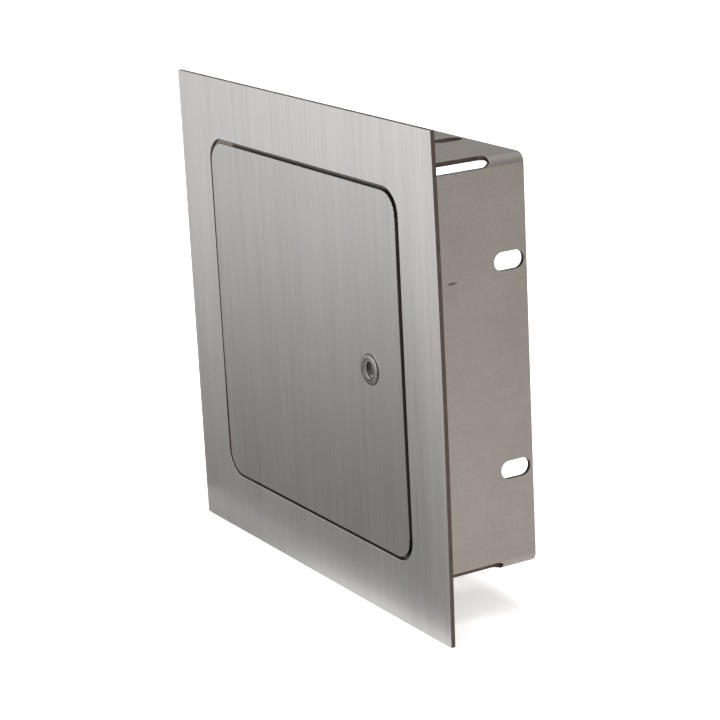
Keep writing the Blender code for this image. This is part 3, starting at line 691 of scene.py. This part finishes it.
def bend_margin(mesh):
    """Pushes the right margin back, most at mid height, as a plate bends that is held along one line."""
    free = HALF_PLATE - COLLAR_HIGH.x
    for vertex in mesh.vertices:
        reach = max(0.0, (vertex.co.x - COLLAR_HIGH.x) / free)
        bend = reach * reach * (3 - reach) / 2
        vertex.co.y += MARGIN_BEND * bend * (1 - (vertex.co.z / HALF_PLATE) ** 2)


def make_face_plate():
    margin = [COLLAR_HIGH.x + (HALF_PLATE - COLLAR_HIGH.x) * step / 8 for step in range(9)]
    rows = [HALF_PLATE * share for share in (0, 0.16, 0.32, 0.47, 0.61, 0.79, 0.9, 1.0)]
    rows = [-row for row in rows[:0:-1]] + rows
    mesh = slab([-HALF_PLATE] + margin, rows, PLATE_FRONT, PLATE_BACK, PLATE_FINISH)
    edge_faces(mesh, EDGE_FINISH, lambda normal, centre: abs(normal.y) < 0.5)
    plate = make("face_plate_sheet", mesh, "cabinet", "brushed_stainless", "face_plate")
    opening = rounded_rectangle((-OPENING_HEIGHT / 2, -OPENING_WIDTH / 2),
                                (OPENING_HEIGHT / 2, OPENING_WIDTH / 2), OPENING_CORNER)
    carve(plate, pushed(opening, "Y", 2 * PLATE_FRONT, -PLATE_FRONT, EDGE_FINISH))
    bend_margin(plate.data)
    soften(plate, SHEET_EDGE)
    print("face plate:", len(plate.data.polygons), "faces,", [m.name for m in plate.data.materials])


make_face_plate()

# %% [markdown]
# ## The door
# Thin sheet that has been brushed is seldom quite flat. The panel falls away from its middle line by under
# half a millimetre at the top and foot, and leans out a little less than that at the top, which is enough to
# change what it mirrors. Its corners are a little tighter than the opening's, and the latch hole is round.

# %% Door panel
DOOR_LOW, DOOR_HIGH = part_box("door_panel")
DOOR_CORNER = 14.3 * MM
DOOR_FALL = 0.3 * MM
DOOR_LEAN = 0.2 * MM
DOOR_EDGE = 0.4 * MM
LATCH_LOW, LATCH_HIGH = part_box("latch_body")
LATCH_X, LATCH_Z = (LATCH_LOW.x + LATCH_HIGH.x) / 2, (LATCH_LOW.z + LATCH_HIGH.z) / 2
LATCH_HOLE = 7.6 * MM


def make_door_panel():
    rows = [DOOR_LOW.z + (DOOR_HIGH.z - DOOR_LOW.z) * step / 18 for step in range(19)]
    mesh = slab([DOOR_LOW.x, DOOR_HIGH.x], rows, DOOR_LOW.y, DOOR_HIGH.y, DOOR_FINISH)
    door = make("door_sheet", mesh, "door", "brushed_stainless", "door_panel")
    outline = rounded_rectangle((DOOR_LOW.z, DOOR_LOW.x), (DOOR_HIGH.z, DOOR_HIGH.x), DOOR_CORNER)
    carve(door, pushed(outline, "Y", 2 * DOOR_LOW.y, -DOOR_LOW.y, EDGE_FINISH), "INTERSECT")
    hole = ring_of(LATCH_HOLE, 64)
    carve(door, pushed(hole, "Y", 2 * DOOR_LOW.y, -DOOR_LOW.y, EDGE_FINISH, (LATCH_X, 0, LATCH_Z)))
    for vertex in door.data.vertices:
        share = vertex.co.z / DOOR_HIGH.z
        vertex.co.y += DOOR_FALL * share ** 2 - DOOR_LEAN * share
    soften(door, DOOR_EDGE, 3)
    print("door:", len(door.data.polygons), "faces,", [m.name for m in door.data.materials])


make_door_panel()

# %% [markdown]
# ## The collar
# One strip of sheet folded four times. A long relief slot takes most of the metal out of each bend so that
# the box folds square by hand, and two slots near the back of each wall take the fixing screws. It is
# drawn as a ring pushed back from the plate, and each slot is one cut through one wall.

# %% Collar
COLLAR_SHEET = 2.8 * MM
BEND_RADIUS = 6.35 * MM
BEND_SLOT = (9.0 * MM, 53.7 * MM)
BEND_SLOT_ON_SIDE, BEND_SLOT_ON_TOP = 5.8 * MM, 8.4 * MM
BEND_SLOT_END = 4.1 * MM
WALL_SLOT_LENGTH, WALL_SLOT_WIDTH = 20.6 * MM, 11.1 * MM
WALL_SLOT_SPACING = 127.0 * MM
WALL_SLOT_EDGE = 2.1 * MM


def make_collar():
    half = COLLAR_HIGH.x
    outer = rounded_rectangle((-half, -half), (half, half), BEND_RADIUS, 12)
    collar = make("collar_strip", pushed(outer, "Y", COLLAR_LOW.y, COLLAR_HIGH.y, COLLAR_FINISH),
                  "cabinet", "mill_stainless", "box_collar")
    inside = half - COLLAR_SHEET
    inner = rounded_rectangle((-inside, -inside), (inside, inside), BEND_RADIUS - COLLAR_SHEET, 12)
    front, back = COLLAR_LOW.y - COLLAR_SHEET, COLLAR_HIGH.y + COLLAR_SHEET
    carve(collar, pushed(inner, "Y", front, back, COLLAR_FINISH))
    edge_faces(collar.data, EDGE_FINISH, lambda normal, centre: abs(normal.y) > 0.5)
    for side in (-1, 1):
        for up in (-1, 1):
            cut_bend_slot(collar, side, up)
            cut_wall_slots(collar, side, up * WALL_SLOT_SPACING / 2)
    soften(collar, SHEET_EDGE)
    print("collar:", len(collar.data.polygons), "faces,", [m.name for m in collar.data.materials])


def cut_bend_slot(collar, side, up):
    """One cut through the side wall and one through the top or bottom wall, which meet in the bend."""
    beyond = 2 * COLLAR_SHEET
    deep = BEND_RADIUS - (BEND_RADIUS - COLLAR_SHEET) * math.sqrt(0.5) + 0.3 * MM
    corner_x, corner_z = side * COLLAR_HIGH.x, up * COLLAR_HIGH.z
    reach = rounded_rectangle((BEND_SLOT[0], -BEND_SLOT_ON_SIDE), (BEND_SLOT[1], BEND_SLOT_END + beyond),
                              BEND_SLOT_END)
    reach = [(y, corner_z + up * z) for y, z in reach]
    across = sorted((corner_x - side * deep, corner_x + side * beyond))
    carve(collar, pushed(reach, "X", *across, EDGE_FINISH))
    reach = rounded_rectangle((BEND_SLOT[0], -BEND_SLOT_ON_TOP), (BEND_SLOT[1], BEND_SLOT_END + beyond),
                              BEND_SLOT_END)
    reach = [(corner_x + side * x, y) for y, x in reach]
    upright = sorted((corner_z - up * deep, corner_z + up * beyond))
    carve(collar, pushed(reach, "Z", *upright, EDGE_FINISH))


def cut_wall_slots(collar, side, along):
    """The same slot in a side wall and in the top or bottom wall."""
    middle = COLLAR_HIGH.y - WALL_SLOT_EDGE - WALL_SLOT_LENGTH / 2
    slot = slot_outline(WALL_SLOT_LENGTH, WALL_SLOT_WIDTH, (middle, along))
    near, far = side * (COLLAR_HIGH.x - 2 * COLLAR_SHEET), side * 2 * COLLAR_HIGH.x
    carve(collar, pushed(slot, "X", near, far, EDGE_FINISH))
    carve(collar, pushed([(b, a) for a, b in slot], "Z", near, far, EDGE_FINISH))


make_collar()

# %% [markdown]
# ## Folded hardware
# Brackets, arms, angles and cam are each one strip of sheet that was sheared, punched and folded. The packed
# pieces already have the right bends and holes. What they lack is the small round that tumbling leaves on
# every sheared edge, so each one is copied, its triangles are merged back into flat faces, and its edges are
# rounded. Drawing them again from outlines would give the same shape for much more code.

# %% Brackets, arms, angles and cam
FOLDED_EDGE = 0.18 * MM


def refined(node, name, body, slot, finish):
    """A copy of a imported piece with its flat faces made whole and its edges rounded."""
    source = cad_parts[node]
    shape = bmesh.new()
    shape.from_mesh(source.data)
    shape.transform(source.matrix_world)
    bmesh.ops.remove_doubles(shape, verts=shape.verts, dist=0.002 * MM)
    bmesh.ops.dissolve_limit(shape, angle_limit=math.radians(1), verts=shape.verts, edges=shape.edges)
    return soften(make(name, closed(shape, finish), body, slot, node), FOLDED_EDGE)


# The strike and stop angles take the dark finish that paints the shade in the door gap.
refined("strike_angle", "strike_strip", "cabinet", "mill_stainless", ANGLE_FINISH)
refined("latch_cam", "cam_blade", "latch", "plated_steel", ZINC_FINISH)
for side in ("upper", "lower"):
    refined("stop_angle_" + side, "stop_strip_" + side, "cabinet", "mill_stainless", ANGLE_FINISH)
    refined("hinge_bracket_" + side, "bracket_plate_" + side, "cabinet", "plated_steel", ZINC_FINISH)
    refined("hinge_arm_" + side, "arm_plate_" + side, "door", "plated_steel", ZINC_FINISH)
    refined("hinge_clip_" + side, "clip_ring_" + side, "cabinet", "plated_steel", ZINC_FINISH)
print("folded pieces: strike, cam, and an upper and a lower stop, bracket, arm and clip")

# %% [markdown]
# ## Threads, nuts and washers
# A screw thread is a groove that climbs as it goes round. A Screw modifier can spin a profile into one, but
# its ends are hard to close. Here the shaft is turned from many rings, and each point moves in by how far
# its height is from the crest of the helix at its angle, with the groove fading at both ends.

# %% Threaded pieces
RINGS_PER_TURN = 6
STUD_RADIUS, STUD_PITCH = 2.0 * MM, 0.8 * MM
ARM_WASHER_RADIUS, ARM_WASHER_HOLE = 4.5 * MM, 2.1 * MM
ARM_NUT_FLATS, ARM_NUT_HOLE = 7.0 * MM, 2.05 * MM
NUT_CHAMFER = math.radians(28)


def thread_rings(radius, start, end, pitch):
    count = max(2, round(abs(end - start) / pitch * RINGS_PER_TURN))
    return [(radius, start + (end - start) * step / count) for step in range(count + 1)]


def cut_thread(mesh, origin, radius, start, end, pitch):
    """Moves points that lie on the shaft's surface in to a helical groove. The shaft runs along Y."""
    depth = 0.55 * pitch
    for vertex in mesh.vertices:
        out = Vector((vertex.co.x - origin[0], 0, vertex.co.z - origin[2]))
        along = vertex.co.y - origin[1]
        if abs(out.length - radius) > 0.001 * MM or not start <= along <= end:
            continue
        turn = (along / pitch + math.atan2(out.z, out.x) / (2 * math.pi)) % 1.0
        fade = min(1.0, (along - start) / pitch, (end - along) / pitch)
        vertex.co -= out.normalized() * depth * fade * abs(2 * turn - 1)


def place_of(node):
    """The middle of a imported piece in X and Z, and its first and last Y."""
    low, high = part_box(node)
    return ((low.x + high.x) / 2, 0, (low.z + high.z) / 2), low.y, high.y


def make_nut(node, name, body, flats, hole):
    origin, front, back = place_of(node)
    corner, face = flats / math.sqrt(3), flats * 0.48
    fall = (corner - face) * math.tan(NUT_CHAMFER)
    lead = 0.12 * (back - front)
    mouth = hole + 2 * lead
    blank = pushed(hexagon(flats), "Y", front, back, ZINC_FINISH, origin)
    nut = make(name, blank, body, "plated_steel", node)
    chamfered = [(0, front), (face, front), (corner, front + fall),
                 (corner, back - fall), (face, back), (0, back)]
    bored = [(0, front - lead), (mouth, front - lead), (hole, front + lead),
             (hole, back - lead), (mouth, back + lead), (0, back + lead)]
    carve(nut, turned(chamfered, "Y", ZINC_FINISH, origin, 96), "INTERSECT")
    carve(nut, turned(bored, "Y", ZINC_FINISH, origin, 48))
    soften(nut, 0.06 * MM)


def make_washer(node, name, body, radius, hole):
    origin, front, back = place_of(node)
    profile = [(hole, front), (radius, front), (radius, back), (hole, back)]
    soften(make(name, turned(profile, "Y", ZINC_FINISH, origin, 48), body, "plated_steel", node), 0.14 * MM)


def make_weld_stud(node, name):
    origin, front, back = place_of(node)
    radius, pitch, lead = STUD_RADIUS, STUD_PITCH, 0.5 * MM
    start = front + 1.0 * MM
    profile = [(0, front), (radius, front)] + thread_rings(radius, start, back - lead, pitch)
    mesh = turned(profile + [(radius - lead, back), (0, back)], "Y", ZINC_FINISH, origin, 32)
    cut_thread(mesh, origin, radius, start, back - lead, pitch)
    smooth(make(name, mesh, "door", "plated_steel", node))


for corner in ("upper_1", "upper_2", "lower_1", "lower_2"):
    make_weld_stud("weld_stud_" + corner, "threaded_stud_" + corner)
    make_washer("arm_washer_" + corner, "flat_washer_" + corner, "door", ARM_WASHER_RADIUS, ARM_WASHER_HOLE)
    make_nut("arm_nut_" + corner, "hex_nut_" + corner, "door", ARM_NUT_FLATS, ARM_NUT_HOLE)
print("stud, washer and nut sets:", 4)

# %% [markdown]
# ## Hinge pins and door pads
# A hinge pin has a low domed head on top and a groove near its foot, where a spring clip snaps in. The door
# pads are thin dots of rubber, crowned a little where they meet the door.

# %% Pins and pads
PAD_PRESS = 0.25 * MM                   # how far the closed door presses a pad in


def dome(radius, base, top, steps=8):
    """Profile points over a dome, from its edge to its crown."""
    turns = [QUARTER * step / steps for step in range(steps + 1)]
    return [(radius * math.cos(turn), base + (top - base) * math.sin(turn)) for turn in turns]


def make_hinge_pin(side):
    low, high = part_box("hinge_pin_" + side)
    clip_low, clip_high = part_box("hinge_clip_" + side)
    origin = ((low.x + high.x) / 2, (low.y + high.y) / 2, 0)
    shank, head, tip = 1.1 * MM, 2.0 * MM, 0.4 * MM
    neck = shank - 0.25 * MM
    profile = [(0, low.z), (shank - tip, low.z), (shank, low.z + tip), (shank, clip_low.z - 0.1 * MM),
               (neck, clip_low.z - 0.1 * MM), (neck, clip_high.z + 0.1 * MM), (shank, clip_high.z + 0.1 * MM),
               (shank, high.z - 1.2 * MM), (head, high.z - 1.2 * MM)]
    profile += dome(head, high.z - 0.8 * MM, high.z)[:-1] + [(0, high.z)]
    pin = make("pin_" + side, turned(profile, "Z", ZINC_FINISH, origin, 48), "cabinet", "plated_steel",
               "hinge_pin_" + side)
    soften(pin, 0.05 * MM)


def make_door_pad(node):
    origin, front, back = place_of(node)
    front += PAD_PRESS
    radius = 3.8 * MM
    crown = [(r, back - (y - front)) for r, y in dome(radius, front + 0.25 * (back - front), back)]
    profile = [(0, front)] + crown[::-1][1:] + [(radius, back), (0, back)]
    smooth(make(node.replace("door_bumper", "rubber_dot"), turned(profile, "Y", RUBBER_FINISH, origin, 48),
                "cabinet", "black_rubber", node))


for side in ("upper", "lower"):
    make_hinge_pin(side)
    for end in ("left", "right"):
        make_door_pad(f"door_bumper_{side}_{end}")
print("hinge pins: 2, door pads: 4, pressed in by", PAD_PRESS / MM, "mm")

# %% [markdown]
# ## The latch
# It is a quarter-turn cam latch. The head and the threaded barrel are one nickel-plated casting, clamped in
# the door by a toothed washer and a large thin nut. A thin black ring under the head paints the shade of the
# gap there as a fine dark rim. Inside turns a plug whose face has a pocket for the opening tool and, low in
# the pocket, a small round pin that the tool fits over. The pocket's rolled lip is what shines, and its
# inside takes a darker nickel that paints its shade.

# %% Latch
HEAD_RADIUS = 9.15 * MM
HEAD_ROUND = 0.3 * MM
BARREL_RADIUS = 7.4 * MM
PLUG_FACE_RADIUS = 6.3 * MM
PLUG_RADIUS = 5.0 * MM
POCKET_LENGTH, POCKET_WIDTH, POCKET_DEPTH = 10.4 * MM, 8.2 * MM, 1.7 * MM
POCKET_SHIFT = 1.0 * MM                 # towards the door's edge
TOOL_PIN_PLACE = (1.9 * MM, -3.9 * MM)
# Outer radius of the black ring that paints the shade under the latch head.
GASKET_RADIUS = 9.6 * MM
POCKET_LIP = 0.35 * MM
TOOL_PIN_RADIUS = 1.1 * MM
BARREL_PITCH = 1.0 * MM
BARREL_NUT_FLATS = 19.0 * MM
LOCK_WASHER_RADIUS, LOCK_WASHER_SHEET = 10.4 * MM, 0.6 * MM
LOCK_TEETH, TOOTH_ROOT, TOOTH_TIP, TOOTH_TWIST = 18, 8.9 * MM, 7.75 * MM, 0.18 * MM
CAM_WASHER_RADIUS, CAM_WASHER_HOLE = 6.0 * MM, 1.9 * MM


def make_latch_body():
    origin, front, back = place_of("latch_body")
    head_back = front + 0.8 * MM
    seat = front + 3.5 * MM
    mouth, bore = PLUG_FACE_RADIUS + 0.25 * MM, PLUG_RADIUS + 0.3 * MM
    edge = arc((HEAD_RADIUS - HEAD_ROUND, front + HEAD_ROUND), HEAD_ROUND, -QUARTER, 0, 6)
    start, end = head_back + 1.2 * MM, back - 0.3 * MM
    profile = [(mouth, front + 0.1 * MM), (mouth + 0.05 * MM, front)]
    profile += edge + [(HEAD_RADIUS, head_back), (BARREL_RADIUS, head_back)]
    profile += thread_rings(BARREL_RADIUS, start, end, BARREL_PITCH)
    profile += [(BARREL_RADIUS - 0.3 * MM, back), (bore, back), (bore, seat), (mouth, seat)]
    mesh = turned(profile, "Y", NICKEL_FINISH, origin, 96)
    cut_thread(mesh, origin, BARREL_RADIUS, start, end, BARREL_PITCH)
    # A black ring under the head paints the shade of the gap between head and door as a dark rim.
    hole, rim = BARREL_RADIUS + 0.1 * MM, GASKET_RADIUS
    gasket = turned([(hole, head_back + 0.05 * MM), (rim - 0.1 * MM, head_back + 0.05 * MM),
                     (rim, head_back + 0.15 * MM), (rim, head_back + 0.25 * MM),
                     (hole, head_back + 0.25 * MM)], "Y", RUBBER_FINISH, origin, 96)
    make("latch_gasket", gasket, "door", "black_rubber").data.shade_smooth()
    smooth(make("latch_casting", mesh, "door", "bright_nickel", "latch_body"))


def make_latch_plug():
    origin, front, back = place_of("latch_plug")
    shoulder = front + 3.0 * MM
    flat = 3.5 * MM
    square_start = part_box("latch_cam")[1].y - 2.3 * MM
    edge = arc((PLUG_FACE_RADIUS - 0.3 * MM, front + 0.3 * MM), 0.3 * MM, -QUARTER, 0, 5)
    profile = [(0, front)] + edge + [(PLUG_FACE_RADIUS, shoulder), (PLUG_RADIUS, shoulder),
                                     (PLUG_RADIUS, back), (0, back)]
    plug = make("latch_cylinder", turned(profile, "Y", NICKEL_FINISH, origin, 96), "latch", "bright_nickel",
                "latch_plug")
    for side in (-1, 1):
        near, far = sorted((side * flat, side * 2 * PLUG_RADIUS))
        reach = 2 * PLUG_RADIUS
        for block in ([(-reach, near), (reach, near), (reach, far), (-reach, far)],
                      [(near, -reach), (far, -reach), (far, reach), (near, reach)]):
            carve(plug, pushed(block, "Y", square_start, back + reach, NICKEL_FINISH, origin))
    carve(plug, pushed(ring_of(1.9 * MM, 32), "Y", back - 7.1 * MM, back + 1 * MM, NICKEL_FINISH, origin))
    pocket = slot_outline(POCKET_LENGTH, POCKET_WIDTH, (0, POCKET_SHIFT))
    # The pocket's cut faces take the darker nickel: painted shade inside the recess.
    carve(plug, pushed(pocket, "Y", front - POCKET_DEPTH, front + POCKET_DEPTH, POCKET_FINISH, origin))
    soften(plug, POCKET_LIP, 3, finish_number=0)
    inside = plug.data.materials.find(POCKET_FINISH.name)
    for face in plug.data.polygons:
        out = Vector((face.center.x - origin[0], 0, face.center.z - origin[2]))
        in_pocket = POCKET_LIP < face.center.y - front < POCKET_DEPTH + 0.1 * MM
        if in_pocket and out.length < PLUG_FACE_RADIUS - POCKET_LIP:
            face.material_index = inside
    foot = (origin[0] + TOOL_PIN_PLACE[0], 0, origin[2] + TOOL_PIN_PLACE[1])
    floor_of_pocket = front + POCKET_DEPTH
    top = front + 0.25 * MM
    crown = [(r, 2 * top + 0.5 * MM - y) for r, y in dome(TOOL_PIN_RADIUS, top, top + 0.5 * MM)]
    pin = turned([(0, crown[-1][1])] + crown[::-1][1:] + [(TOOL_PIN_RADIUS, floor_of_pocket),
                 (0, floor_of_pocket)], "Y", NICKEL_FINISH, foot, 32)
    make("tool_pin", pin, "latch", "bright_nickel").data.shade_smooth()


def make_toothed_washer():
    """Its inner edge is cut into teeth, each one twisted so that its corners bite."""
    origin, front, back = place_of("latch_lock_washer")
    near, far = (front + back - LOCK_WASHER_SHEET) / 2, (front + back + LOCK_WASHER_SHEET) / 2
    ring = pushed(ring_of(LOCK_WASHER_RADIUS, 96), "Y", near, far, ZINC_FINISH, origin)
    washer = make("toothed_washer", ring, "door", "plated_steel", "latch_lock_washer")
    step = 2 * math.pi / LOCK_TEETH
    star = []
    for tooth in range(LOCK_TEETH):
        for share, radius in ((0.0, TOOTH_TIP), (0.55, TOOTH_TIP), (0.62, TOOTH_ROOT), (0.93, TOOTH_ROOT)):
            angle = (tooth + share) * step
            star.append((radius * math.cos(angle), radius * math.sin(angle)))
    carve(washer, pushed(star, "Y", front - 1 * MM, back + 1 * MM, ZINC_FINISH, origin))
    for vertex in washer.data.vertices:
        out = Vector((vertex.co.x - origin[0], 0, vertex.co.z - origin[2]))
        share = math.atan2(out.x, out.z) / step % 1.0
        if out.length < TOOTH_ROOT - 0.2 * MM:
            vertex.co.y += TOOTH_TWIST if share > 0.25 else -TOOTH_TWIST
    soften(washer, 0.05 * MM)


def make_cam_screw():
    origin, front, back = place_of("cam_screw")
    seat = back - 2.6 * MM
    shank, head, pitch = 1.6 * MM, 4.2 * MM, 0.7 * MM
    profile = [(0, front), (shank - 0.3 * MM, front)] + thread_rings(shank, front + 0.3 * MM, seat, pitch)
    profile += [(head, seat)] + dome(head, seat + 0.7 * MM, back)[:-1] + [(0, back)]
    mesh = turned(profile, "Y", ZINC_FINISH, origin, 48)
    cut_thread(mesh, origin, shank, front + 0.3 * MM, seat, pitch)
    screw = make("slotted_screw", mesh, "latch", "plated_steel", "cam_screw")
    reach, half = head + 1 * MM, 0.5 * MM
    slot = [(-reach, -half), (reach, -half), (reach, half), (-reach, half)]
    carve(screw, pushed(slot, "Y", back - 1.2 * MM, back + 1 * MM, ZINC_FINISH, origin))
    smooth(screw)


make_latch_body()
make_latch_plug()
make_toothed_washer()
make_nut("latch_nut", "barrel_nut", "door", BARREL_NUT_FLATS, BARREL_RADIUS + 0.1 * MM)
make_washer("cam_washer", "cam_flat_washer", "latch", CAM_WASHER_RADIUS, CAM_WASHER_HOLE)
make_cam_screw()
print("latch pocket", POCKET_LENGTH / MM, "by", POCKET_WIDTH / MM, "mm")

# %% [markdown]
# ## Welds
# The collar is tacked to the back of the plate with short beads outside the box, and its strip is closed by
# one ground seam under the bottom wall, drawn as two flat halves. A bead is a fan of points that swells and
# tapers along its length, with ripples where the weld pool froze.

# %% Weld beads
BEAD_LENGTH = 16 * MM
BEAD_LEG = 2.6 * MM
BEADS_ALONG = (-85 * MM, 0.0, 85 * MM)
BEAD_STEPS, BEAD_FAN = 36, 6
SEAM_LEG, SEAM_HEIGHT = 1.7 * MM, 0.2


def make_bead(name, corner, along, inward, length, leg, back):
    """A fillet from a corner line, along one direction, leaning on a wall and on the plate's back."""
    shape = bmesh.new()
    rows = []
    for step in range(BEAD_STEPS + 1):
        share = 2 * step / BEAD_STEPS - 1
        swell = leg * max(0.04, 1 - share ** 4) ** 0.5 * (1 + 0.09 * math.cos(step * 2.1))
        base = corner + along * (share * length / 2)
        row = [shape.verts.new(base)]
        for turn in range(BEAD_FAN + 1):
            angle = QUARTER * turn / BEAD_FAN
            bulge = swell * (0.82 + 0.18 * abs(math.cos(2 * angle)))
            toe = inward * math.cos(angle) + back * math.sin(angle)
            row.append(shape.verts.new(base + toe * bulge))
        rows.append(row)
    for row, following in zip(rows, rows[1:]):
        for index in range(len(row)):
            after = (index + 1) % len(row)
            shape.faces.new((row[index], row[after], following[after], following[index]))
    shape.faces.new(rows[0])
    shape.faces.new(rows[-1])
    make(name, closed(shape, WELD_FINISH), "cabinet", "mill_stainless").data.shade_smooth()


def make_welds():
    rightward, backward, upward = Vector((1, 0, 0)), Vector((0, 1, 0)), Vector((0, 0, 1))
    walls = {"right": (rightward, upward), "left": (-rightward, upward),
             "top": (upward, rightward), "bottom": (-upward, rightward)}
    for wall, (out, along) in walls.items():
        for number, place in enumerate(BEADS_ALONG, 1):
            corner = out * COLLAR_HIGH.x + along * place + backward * (PLATE_BACK + 0.02 * MM)
            make_bead(f"tack_weld_{wall}_{number}", corner, along, out, BEAD_LENGTH, BEAD_LEG, backward)
    corner = Vector((0, (COLLAR_LOW.y + COLLAR_HIGH.y) / 2, -COLLAR_HIGH.z))
    length = COLLAR_HIGH.y - COLLAR_LOW.y - 1.0 * MM
    for side, aside in (("left", -rightward), ("right", rightward)):
        make_bead("ground_seam_" + side, corner, backward, aside, length, SEAM_LEG, -upward * SEAM_HEIGHT)


make_welds()
